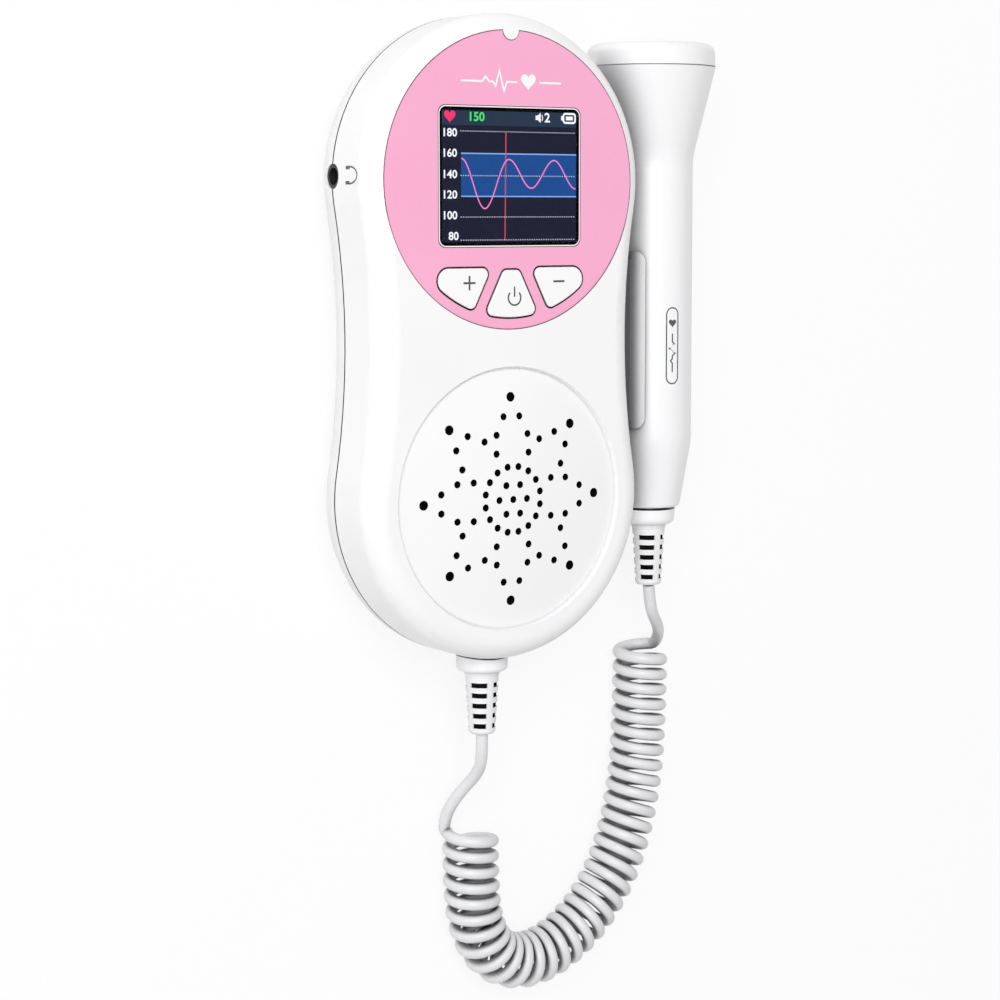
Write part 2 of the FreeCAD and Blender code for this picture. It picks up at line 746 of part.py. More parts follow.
def face_plate(keys):
    plate = cylinder(plate_radius, plate_thickness, Vector(0, head_y, plate_back_z))
    cuts = [cylinder(notch_radius + plate_gap, case_depth, Vector(0, head_y + plate_radius, 0)),
            rounded_block(screen_width + 2 * screen_rim + 2 * plate_gap,
                          screen_height + 2 * screen_rim + 2 * plate_gap,
                          screen_corner + screen_rim, screen_x, screen_y, 0, 2 * case_depth)]
    cuts += [key_prism(wire, key_gap, 0, 2 * case_depth) for wire in keys]
    for cutter in cuts:
        plate = plate.cut(cutter)
    return plate


def display_window():
    return rounded_block(screen_width - slip, screen_height - slip, screen_corner, screen_x, screen_y,
                         window_back_z, plate_front_z)


# ---- electronics ------------------------------------------------------------------

def display_module():
    body = box(screen_x - display_width / 2, screen_x + display_width / 2,
               screen_y - display_height / 2, screen_y + display_height / 2,
               display_back_z, display_front_z)
    inset = window_ledge + display_glass_gap
    glass = rounded_block(screen_width - 2 * inset, screen_height - 2 * inset, screen_corner - inset,
                          screen_x, screen_y, display_front_z, window_back_z - display_glass_drop)
    return joined([body, glass])


def display_carrier():
    def ring(outer, inner, z0, z1):
        blocks = [box(screen_x - display_width / 2 - grow, screen_x + display_width / 2 + grow,
                      screen_y - display_height / 2 - grow, screen_y + display_height / 2 + grow, z0, z1)
                  for grow in (outer, inner)]
        return blocks[0].cut(blocks[1])

    return joined([ring(carrier_reach, -carrier_bore_inset, board_top_z, display_back_z),
                   ring(carrier_reach, slip, display_back_z, display_back_z + carrier_rim)])


def main_board():
    board = box(-board_half_width, board_half_width, board_foot_y, board_top_y, board_bottom_z, board_top_z)
    board = board.makeChamfer(board_corner, upright_edges(board))
    round_room = cylinder(head_radius - front_wall - board_wall_gap, case_depth, Vector(0, head_y, 0))
    board = board.common([round_room, box(-head_radius, head_radius, tail_y, head_y, 0, case_depth)])
    board = board.removeSplitter()
    tab_x = -head_radius + front_wall + board_tab_gap
    tab = box(tab_x, 0, socket_y - board_tab_half, socket_y + board_tab_half, board_bottom_z, board_top_z)
    board = joined([board, tab])
    for x, y in board_post_places():
        board = board.cut(cylinder(board_screw_radius + slip, case_depth, Vector(x, y, 0)))
    return board


def board_screws():
    screws = []
    for x, y in board_post_places():
        shank = cylinder(board_screw_radius, board_screw_length, Vector(x, y, board_bottom_z))
        top = cylinder(2 * board_screw_radius, board_screw_radius,
                       Vector(x, y, board_bottom_z - board_screw_radius))
        screws.append(joined([shank, top]))
    return together(screws)


def key_switches():
    switches = []
    half = switch_size / 2
    for x, y in key_places():
        body = box(x - half, x + half, y - half, y + half, board_top_z, switch_top_z)
        well = cylinder(switch_stem_radius + slip, switch_bore_depth + 1,
                        Vector(x, y, switch_top_z - switch_bore_depth))
        switches.append(body.cut(well))
    return together(switches)


def headphone_socket():
    face_x = -head_radius + socket_nose_sink
    body_x = -head_radius + front_wall + socket_body_gap
    nose = cylinder(socket_nose_radius, body_x - face_x, Vector(face_x, socket_y, seam_z), X_DIR)
    body = box(body_x, face_x + socket_bore_length + front_wall, socket_y - socket_half_width,
               socket_y + socket_half_width, seam_z - socket_body_below, board_bottom_z)
    bore = cylinder(socket_bore_radius, socket_bore_length + 1, Vector(face_x - 1, socket_y, seam_z), X_DIR)
    return joined([nose, body]).cut(bore)


# ---- speaker ----------------------------------------------------------------------

def speaker_gasket():
    ring = cylinder(speaker_radius, gasket_thickness, Vector(0, tail_y, gasket_low_z))
    return ring.cut(cylinder(speaker_radius - gasket_width, gasket_thickness,
                             Vector(0, tail_y, gasket_low_z)))


def speaker_frame():
    inner = speaker_radius - gasket_width
    low = speaker_back_z
    return turned_z([(speaker_radius, gasket_low_z), (speaker_radius, gasket_low_z - speaker_flange),
                     (inner, gasket_low_z - speaker_flange), (speaker_basket_radius, low), (0, low),
                     (0, low + speaker_wall), (speaker_basket_radius - speaker_wall, low + speaker_wall),
                     (inner - speaker_wall, gasket_low_z - speaker_flange), (inner, gasket_low_z)],
                    0, tail_y)


def speaker_cone():
    rim_z = gasket_low_z
    cap_z = rim_z - cone_drop
    return turned_z([(cone_rim_radius, rim_z), (cone_cap_radius, cap_z), (0, cap_z + cone_thickness),
                     (0, cap_z), (cone_cap_radius, cap_z - cone_thickness),
                     (cone_rim_radius, rim_z - cone_thickness)], 0, tail_y)


def speaker_magnet():
    return cylinder(magnet_radius, magnet_thickness, Vector(0, tail_y, magnet_low_z))


# ---- batteries --------------------------------------------------------------------

def battery_run(side):
    # foot and head of a cell: its flat end rests on a spring, its nub on a contact
    near_foot = bay_foot_y + contact_thickness + slip
    foot = near_foot + spring_length if side < 0 else near_foot
    return foot, foot + cell_length


def batteries():
    cells = []
    for side in (-1, 1):
        foot, head = battery_run(side)
        can_y, nub_y = (foot, head - cell_nub_length) if side < 0 else (foot + cell_nub_length, foot)
        can = cylinder(cell_radius, cell_length - cell_nub_length,
                       Vector(side * cell_x, can_y, cell_z), Y_DIR)
        nub = cylinder(cell_nub_radius, cell_nub_length,
                       Vector(side * cell_x, nub_y, cell_z), Y_DIR)
        cells.append(joined([can, nub]))
    return together(cells)


def battery_contacts():
    plates = []
    low, high = cell_z - spring_radius, cell_z + spring_radius
    outer = bay_half_width - contact_margin
    for side in (-1, 1):
        near, far = sorted((side * contact_margin, side * outer))
        plates.append(box(near, far, bay_head_y - contact_thickness, bay_head_y, low, high))
    plates.append(box(-outer, outer, bay_foot_y, bay_foot_y + contact_thickness, low, high))
    return together(plates)


def battery_springs():
    # each compressed spring as a thin ring between its contact and its can
    springs = []
    for side in (-1, 1):
        foot, head = battery_run(side)
        ends = (bay_foot_y + contact_thickness, foot) if side < 0 else (head, bay_head_y - contact_thickness)
        springs.append(ring_y(spring_radius, spring_radius - spring_wall, ends[0], ends[1],
                              side * cell_x, cell_z))
    return together(springs)


# ---- gland of the unit ------------------------------------------------------------

def boot(x, root_y, z, neck):
    # strain relief along -Y, with slots between four lengthwise ribs
    tip_y = root_y - boot_length
    flange_y = root_y - boot_flange_length
    body = turned_y([(0, root_y), (boot_flange_radius, root_y), (boot_root_radius, flange_y),
                     (boot_tip_radius, tip_y + 0.5), (boot_tip_radius - 0.4, tip_y), (0, tip_y)], x, z)
    slots = []
    ribs = [box(x - boot_rib_width / 2, x + boot_rib_width / 2, tip_y, root_y,
                z - 2 * boot_root_radius, z + 2 * boot_root_radius),
            box(x - 2 * boot_root_radius, x + 2 * boot_root_radius, tip_y, root_y,
                z - boot_rib_width / 2, z + boot_rib_width / 2)]
    for row in range(boot_slot_rows):
        y = root_y - boot_slot_first - row * boot_slot_pitch
        slot = ring_y(2 * boot_root_radius, boot_core_radius, y - boot_slot_height / 2,
                      y + boot_slot_height / 2, x, z)
        slots.append(slot.cut(ribs))
    body = body.cut(together(slots))
    return joined([body, neck])


def unit_boot():
    neck = cylinder(boot_neck_radius, boot_anchor_y - collar_foot_y,
                    Vector(0, collar_foot_y, gland_z), Y_DIR)
    anchor = cylinder(boot_anchor_radius, boot_anchor_length, Vector(0, boot_anchor_y, gland_z), Y_DIR)
    return boot(0, collar_foot_y, gland_z, joined([neck, anchor]))


def cord_collar():
    length = collar_length + 2 * front_wall
    collar = cylinder(collar_radius, length, Vector(0, collar_foot_y, gland_z), Y_DIR)
    rim = [edge for edge in collar.Edges if edge.BoundBox.YMax < collar_foot_y + 1e-4]
    collar = collar.makeFillet(collar_edge, rim)
    bore = cylinder(boot_neck_radius + slip, length, Vector(0, collar_foot_y, gland_z), Y_DIR)
    return collar.cut(bore).cut(case_solid())


# ---- probe ------------------------------------------------------------------------

def handle_solid(inset):
    # head cone, straight grip and cord end, turned about one axis
    flare_y, foot_y = cap_seam_y - flare_length, taper_y - taper_length
    body = turned_y([(0, foot_y), (taper_radius - inset, foot_y), (handle_radius - inset, taper_y),
                     (handle_radius - inset, flare_y), (cap_rim_radius - inset, cap_seam_y),
                     (0, cap_seam_y)], probe_x, probe_z)
    bends = [edge for edge in body.Edges if edge.BoundBox.YLength < 1e-4
             and min(abs(edge.BoundBox.YMin - taper_y), abs(edge.BoundBox.YMin - flare_y)) < 1e-3]
    return body.makeFillet(handle_bend_radius, bends)


def probe_handle():
    seat = cylinder(end_cap_spigot_radius + slip, end_cap_spigot + 1,
                    Vector(probe_x, handle_foot_y - 1, probe_z), Y_DIR)
    outside = handle_solid(0)
    rim = [edge for edge in outside.Edges if edge.BoundBox.YMax < handle_foot_y + 1e-3]
    return outside.makeFillet(handle_foot_edge, rim).cut(handle_solid(probe_wall)).cut(seat)


def probe_head_cap():
    outer = turned_y([(0, cap_low_y), (cap_rim_radius, cap_low_y), (cap_face_radius, cap_top_y),
                      (0, cap_top_y)], probe_x, probe_z)
    rim = [edge for edge in outer.Edges if edge.BoundBox.YMin > cap_top_y - 1e-4]
    outer = outer.makeFillet(cap_edge_radius, rim)
    foot = Vector(probe_x, cap_low_y - cap_spigot, probe_z)
    spigot = cylinder(cap_spigot_radius, cap_spigot, foot, Y_DIR)
    room = cylinder(cap_room_radius, cap_room_y - foot.y, foot, Y_DIR)
    return joined([outer, spigot]).cut(room).cut(seal_ring(seal_radius))


def seal_ring(radius):
    return Part.makeTorus(cap_spigot_radius + radius - seal_sink, radius,
                          Vector(probe_x, seal_y, probe_z), Y_DIR)


def transducer_discs():
    radius = (cap_room_radius - slip - disc_gap) / 3
    ring = 2 * radius + disc_gap
    base = Vector(probe_x, cap_room_y - disc_thickness, probe_z)
    discs = [cylinder(radius, disc_thickness, base, Y_DIR)]
    for index in range(disc_count):
        turn = math.radians(index * 360 / disc_count)
        spot = base + Vector(ring * math.cos(turn), 0, ring * math.sin(turn))
        discs.append(cylinder(radius, disc_thickness, spot, Y_DIR))
    return together(discs)


def transducer_backing():
    base = Vector(probe_x, cap_room_y - disc_thickness - backing_thickness, probe_z)
    return cylinder(cap_room_radius - slip, backing_thickness, base, Y_DIR)


def head_seal():
    return seal_ring(seal_radius)


def probe_board():
    half = probe_board_width / 2
    return box(probe_x - half, probe_x + half, probe_board_foot_y, probe_board_foot_y + probe_board_length,
               probe_z - probe_board_thickness / 2, probe_z + probe_board_thickness / 2)


def dock_keeper():
    # steel strip against the inner wall of the handle, opposite the dock magnets
    half = keeper_width / 2
    depth = math.sqrt((handle_radius - probe_wall - slip) ** 2 - half ** 2)
    return box(probe_x - depth, probe_x - depth + keeper_thickness, dock_middle_y - keeper_length / 2,
               dock_middle_y + keeper_length / 2, probe_z - half, probe_z + half)


def probe_end_cap():
    cap = turned_y([(0, end_cap_foot_y), (end_cap_tip_radius, end_cap_foot_y),
                    (end_cap_root_radius, end_cap_top_y), (0, end_cap_top_y)], probe_x, probe_z)
    cap = cap.makeFillet(end_cap_edge, [edge for edge in cap.Edges
                                        if edge.BoundBox.YMax < end_cap_foot_y + 1e-3])
    spigot = cylinder(end_cap_spigot_radius, end_cap_spigot + end_cap_gap,
                      Vector(probe_x, end_cap_top_y, probe_z), Y_DIR)
    bore = cylinder(boot_neck_radius + slip, 3 * end_cap_length,
                    Vector(probe_x, end_cap_foot_y - 1, probe_z), Y_DIR)
    return joined([cap, spigot]).cut(bore)


def probe_boot():
    neck = cylinder(boot_neck_radius, end_cap_length, Vector(probe_x, end_cap_foot_y, probe_z), Y_DIR)
    return boot(probe_x, end_cap_foot_y, probe_z, neck)


# ---- dock -------------------------------------------------------------------------

def dock_saddle():
    # part of a ring round the handle, between two planes through the handle's axis
    outer = dock_bore_radius + dock_wall
    half = math.radians(dock_half_angle)
    reach = 2 * outer
    wedge = Part.makePolygon([Vector(probe_x, dock_foot_y, probe_z)]
                             + [Vector(probe_x - reach * math.cos(turn), dock_foot_y,
                                       probe_z + reach * math.sin(turn)) for turn in (-half, 0, half)]
                             + [Vector(probe_x, dock_foot_y, probe_z)])
    saddle = ring_y(outer, dock_bore_radius, dock_foot_y, dock_top_y, probe_x, probe_z)
    saddle = saddle.common(Part.Face(wedge).extrude(Vector(0, dock_top_y - dock_foot_y, 0)))
    corners = [edge for edge in saddle.Edges if abs(edge.Length - dock_wall) < 1e-3]
    return saddle.makeFillet(dock_corner, corners)


def probe_dock():
    foot = box(0, probe_x - handle_radius, dock_middle_y - dock_foot_length / 2,
               dock_middle_y + dock_foot_length / 2, dock_foot_low_z, dock_foot_high_z)
    foot = foot.cut(case_solid()).cut(cylinder(dock_bore_radius, dock_top_y - dock_foot_y,
                                               Vector(probe_x, dock_foot_y, probe_z), Y_DIR))
    dock = joined([dock_saddle(), foot])
    for magnet in dock_magnet_solids(slip):
        dock = dock.cut(magnet)
    for hole in dock_screw_holes():
        dock = dock.cut(hole)
    return dock


def dock_foot_x(y):
    # flank of the case at a given height
    waist = waist_centre()
    return waist.x - math.sqrt(waist_radius ** 2 - (y - waist.y) ** 2)


def dock_magnet_solids(grow):
    bore_x = probe_x - math.sqrt(dock_bore_radius ** 2 - (dock_middle_z - probe_z) ** 2)
    low_x = bore_x - dock_magnet_cover - dock_magnet_depth - grow
    return [cylinder(dock_magnet_radius + grow, dock_magnet_depth + grow,
                     Vector(low_x, dock_middle_y + side * dock_magnet_y, dock_middle_z), X_DIR)
            for side in (-1, 1)]


def dock_screw_spots():
    return [(dock_middle_y + side * dock_screw_y, dock_middle_z) for side in (-1, 1)]


def dock_screw_holes():
    return [cylinder(dock_screw_radius, front_wall + dock_screw_reach + 1,
                     Vector(dock_foot_x(y) - front_wall - 1, y, z), X_DIR) for y, z in dock_screw_spots()]


def dock_screws():
    screws = []
    for y, z in dock_screw_spots():
        seat = dock_foot_x(y) - front_wall - slip
        shank = cylinder(dock_screw_radius, front_wall + dock_screw_reach, Vector(seat, y, z), X_DIR)
        top = cylinder(dock_screw_top_radius, dock_screw_top_height,
                       Vector(seat - dock_screw_top_height, y, z), X_DIR)
        screws.append(joined([shank, top]))
    return together(screws)


# ---- cord -------------------------------------------------------------------------

def bent_path(route, name):
    # straight runs joined by tangent arcs as large as the runs allow
    points = [Vector(*point) for point in route]
    edges, radii, length = [], [], 0.0
    start = points[0]
    for before, here, after in zip(points, points[1:], points[2:]):
        to_before, to_after = before - here, after - here
        cut = 0.45 * min(to_before.Length, to_after.Length)
        half_turn = (math.pi - to_before.getAngle(to_after)) / 2
        radius = cut / math.tan(half_turn)
        first = here + to_before.normalize() * cut
        last = here + to_after.normalize() * cut
        bisector = (to_before + to_after).normalize()
        middle = here + bisector * (radius / math.cos(half_turn) - radius)
        edges.append(Part.LineSegment(start, first).toShape())
        edges.append(Part.Arc(first, middle, last).toShape())
        radii.append(radius)
        start = last
    edges.append(Part.LineSegment(start, points[-1]).toShape())
    wire = Part.Wire(edges)
    print(name, "length %.1f" % wire.Length, "radii", ["%.1f" % radius for radius in radii])
    return wire


def tube(route, radius, name):
    path = bent_path(route, name)
    start, ahead = Vector(*route[0]), Vector(*route[1])
    section = Part.Wire(Part.makeCircle(radius, start, (ahead - start).normalize()))
    solid = path.makePipeShell([section], True, False)
    print(name, "volume over section times length %.4f"
          % (solid.Volume / (math.pi * radius ** 2 * path.Length)))
    return solid


# ---- all nodes --------------------------------------------------------------------

def build():
    plus_wire = side_key_outline()
    minus_wire = key_prism(plus_wire, 0, 0, 1).mirror(Vector(0, 0, 0), X_DIR)
    minus_wire = [face for face in minus_wire.Faces if face.BoundBox.ZMax < 1e-6][0].OuterWire
    power_wire = power_key_outline()
    keys = [plus_wire, power_wire, minus_wire]
    plus_place, power_place, minus_place = key_places()
    return {
        "front_shell": front_shell(keys),
        "back_shell": back_shell(),
        "face_plate": face_plate(keys),
        "display_window": display_window(),
        "display_module": display_module(),
        "display_carrier": display_carrier(),
        "main_board": main_board(),
        "board_screws": board_screws(),
        "key_switches": key_switches(),
        "headphone_socket": headphone_socket(),
        "speaker_gasket": speaker_gasket(),
        "speaker_frame": speaker_frame(),
        "speaker_cone": speaker_cone(),
        "speaker_magnet": speaker_magnet(),
        "batteries": batteries(),
        "battery_contacts": battery_contacts(),
        "battery_springs": battery_springs(),
        "battery_door": battery_door(),
        "case_screws": case_screws(),
        "cord_collar": cord_collar(),
        "unit_boot": unit_boot(),
        "plus_key": key_cap(plus_wire, plus_place),
        "power_key": key_cap(power_wire, power_place),
        "minus_key": key_cap(minus_wire, minus_place),
        "plus_switch_stem": key_stem(plus_place),
        "power_switch_stem": key_stem(power_place),
        "minus_switch_stem": key_stem(minus_place),
        "probe_dock": probe_dock(),
        "dock_magnets": together(dock_magnet_solids(0)),
        "dock_screws": dock_screws(),
        "probe_handle": probe_handle(),
        "probe_head_cap": probe_head_cap(),
        "transducer_discs": transducer_discs(),
        "transducer_backing": transducer_backing(),
        "head_seal": head_seal(),
        "probe_board": probe_board(),
        "dock_keeper": dock_keeper(),
        "probe_end_cap": probe_end_cap(),
        "probe_boot": probe_boot(),
        "cord_unit_lead": tube(unit_lead_route, cord_radius, "unit lead"),
        "cord_coil": tube(coil_route, coil_radius, "coil"),
        "cord_probe_lead": tube(probe_lead_route, cord_radius, "probe lead"),
    }


os.makedirs("parts", exist_ok=True)
for node, shape in build().items():
    shape.exportStep(os.path.join("parts", node + ".step"))
    print(node, "solids", len(shape.Solids), "valid", shape.isValid(), "volume %.1f" % shape.Volume)
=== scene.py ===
import math

import bmesh
import bpy
from mathutils import Matrix, Vector


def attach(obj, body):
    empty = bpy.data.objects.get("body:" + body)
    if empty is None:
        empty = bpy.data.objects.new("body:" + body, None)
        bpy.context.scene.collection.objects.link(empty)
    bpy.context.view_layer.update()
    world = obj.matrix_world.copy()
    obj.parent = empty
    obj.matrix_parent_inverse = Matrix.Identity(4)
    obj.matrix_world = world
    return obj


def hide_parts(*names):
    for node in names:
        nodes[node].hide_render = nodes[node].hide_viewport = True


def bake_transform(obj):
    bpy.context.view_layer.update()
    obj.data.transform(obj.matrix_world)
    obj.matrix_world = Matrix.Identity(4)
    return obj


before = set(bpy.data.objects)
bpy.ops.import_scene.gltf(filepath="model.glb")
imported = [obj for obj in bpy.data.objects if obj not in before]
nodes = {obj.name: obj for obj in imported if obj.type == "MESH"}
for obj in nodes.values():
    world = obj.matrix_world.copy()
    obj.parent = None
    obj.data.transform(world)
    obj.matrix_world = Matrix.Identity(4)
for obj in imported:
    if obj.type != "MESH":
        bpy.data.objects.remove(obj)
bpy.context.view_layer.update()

scene = bpy.context.scene
mm = 0.001
headCentre, tailCentre = (0, 33.8), (0, -33.8)      # middles of the unit's two round ends, millimetres
probeAxis = (46.2, 15.5)                            # x and z of the probe's axis
handleRadius = 9.5


# The camera stands at the upper left of the device and looks down on its face.
camera = {
    "place": (-0.2962, 0.0267, 0.4669),
    "sight": (0.55192, -0.11385, -0.82609),
    "upward": (0.06429, 0.9935, -0.09397),
    "lens": 89.735,
}


def makeCamera():
    data = bpy.data.cameras.new("camera")
    data.lens, data.sensor_width = camera["lens"], 36
    data.clip_start, data.clip_end = 0.01, 10
    cam = bpy.data.objects.new("camera", data)
    scene.collection.objects.link(cam)
    sight = Vector(camera["sight"]).normalized()
    right = sight.cross(Vector(camera["upward"])).normalized()
    turn = Matrix((right, right.cross(sight), -sight)).transposed()
    cam.matrix_world = Matrix.Translation(camera["place"]) @ turn.to_4x4()
    scene.camera = cam


makeCamera()
scene.view_settings.view_transform = "Standard"
print("camera made")


# Node helpers for the materials.

def newMaterial(name):
    material = bpy.data.materials.new(name)
    material.use_nodes = True
    tree = material.node_tree
    tree.nodes.clear()
    shader = tree.nodes.new("ShaderNodeBsdfPrincipled")
    output = tree.nodes.new("ShaderNodeOutputMaterial")
    tree.links.new(shader.outputs["BSDF"], output.inputs["Surface"])
    return material, tree, shader


def addNode(tree, kind, inputs=None, **settings):
    node = tree.nodes.new(kind)
    for name, value in settings.items():
        setattr(node, name, value)
    for name, value in (inputs or {}).items():
        if isinstance(value, bpy.types.NodeSocket):
            tree.links.new(value, node.inputs[name])
        else:
            node.inputs[name].default_value = value
    return node


def objectPlace(tree):
    return addNode(tree, "ShaderNodeTexCoord").outputs["Object"]


def patches(tree, place, width, detail=2.0):
    # cloudy values about 0.5, in patches of this width in millimetres
    inputs = {"Vector": place, "Scale": 1 / (width * mm), "Detail": detail}
    return addNode(tree, "ShaderNodeTexNoise", inputs).outputs["Fac"]


def ranged(tree, value, low, high, start=0.3, stop=0.7):
    inputs = {"Value": value, "From Min": start, "From Max": stop, "To Min": low, "To Max": high}
    return addNode(tree, "ShaderNodeMapRange", inputs).outputs["Result"]


def mixed(tree, share, first, second):
    node = addNode(tree, "ShaderNodeMix", data_type="RGBA")
    for socket, value in ((node.inputs[0], share), (node.inputs[6], first), (node.inputs[7], second)):
        if isinstance(value, bpy.types.NodeSocket):
            tree.links.new(value, socket)
        else:
            socket.default_value = (*value, 1)
    return node.outputs[2]


def bumped(tree, shader, layers):
    # layers of (height value, depth in millimetres), one on top of the other
    normal = None
    for value, depth in layers:
        inputs = {"Height": value, "Distance": depth * mm, "Strength": 1.0}
        if normal:
            inputs["Normal"] = normal
        normal = addNode(tree, "ShaderNodeBump", inputs).outputs["Normal"]
    tree.links.new(normal, shader.inputs["Normal"])


def combined(tree, operation, first, second):
    return addNode(tree, "ShaderNodeMath", {0: first, 1: second}, operation=operation).outputs[0]


def distanceFrom(tree, centre, axes):
    # distance in metres from a line through centre; axes are the two directions that count
    place = addNode(tree, "ShaderNodeSeparateXYZ", {"Vector": objectPlace(tree)})
    squares = []
    for axis, middle in zip(axes, centre):
        offset = combined(tree, "SUBTRACT", place.outputs[axis], middle * mm)
        squares.append(combined(tree, "POWER", offset, 2.0))
    return combined(tree, "POWER", combined(tree, "ADD", *squares), 0.5)


def beyond(axis, limit, side=1, soft=0.05):
    # one past a plane, with the axis place in millimetres; side -1 is for the lower side
    def measure(tree):
        place = addNode(tree, "ShaderNodeSeparateXYZ", {"Vector": objectPlace(tree)}).outputs[axis]
        return ranged(tree, place, 0, 1, limit * mm, (limit + side * soft) * mm)
    return measure


def within(centre, radius):
    # one inside an upright cylinder
    def measure(tree):
        return ranged(tree, distanceFrom(tree, centre, "XY"), 1, 0, radius * mm, (radius + 0.1) * mm)
    return measure


def creviceShade(reach, closed=0.15, clear=0.6, alone=False):
    # painted shade: one deep in a gap where ambient occlusion finds walls close by, none where
    # the surface is open for this far in millimetres; alone counts only the piece's own walls
    def measure(tree):
        openness = addNode(tree, "ShaderNodeAmbientOcclusion", {"Distance": reach * mm}, samples=6,
                           only_local=alone).outputs["AO"]
        return ranged(tree, openness, 1, 0, closed, clear)
    return measure


def both(first, second):
    def measure(tree):
        return combined(tree, "MULTIPLY", first(tree), second(tree))
    return measure


def moulded(name, look):
    # two close tones, painted shade where the look lists it, a fine skin, and handling that changes the gloss
    material, tree, shader = newMaterial(name)
    place = objectPlace(tree)
    broad = patches(tree, place, look.get("patch", 22), 3)
    tone = mixed(tree, ranged(tree, broad, 0, 1), look["tone"], look["drift"])
    if "speck" in look:
        dots = patches(tree, place, look.get("speckWidth", 0.5), 1)
        tone = mixed(tree, ranged(tree, dots, 0, look.get("speckShare", 0.5), 0.6, 0.72), tone, look["speck"])
    # painted shade: each mask darkens the tone towards its dark colour where shade falls
    for measure, dark in look.get("shade", []):
        tone = mixed(tree, measure(tree), tone, dark)
    tree.links.new(tone, shader.inputs["Base Color"])
    smear = patches(tree, place, look.get("smear", 7), 4)
    tree.links.new(ranged(tree, smear, *look["roughness"]), shader.inputs["Roughness"])
    grain = patches(tree, place, look.get("grain", 0.22), 2)
    bumped(tree, shader, [(smear, look.get("wave", 0.002)), (grain, look.get("skin", 0.004))])
    for socket, value in look.get("sockets", {}).items():
        shader.inputs[socket].default_value = value
    return material


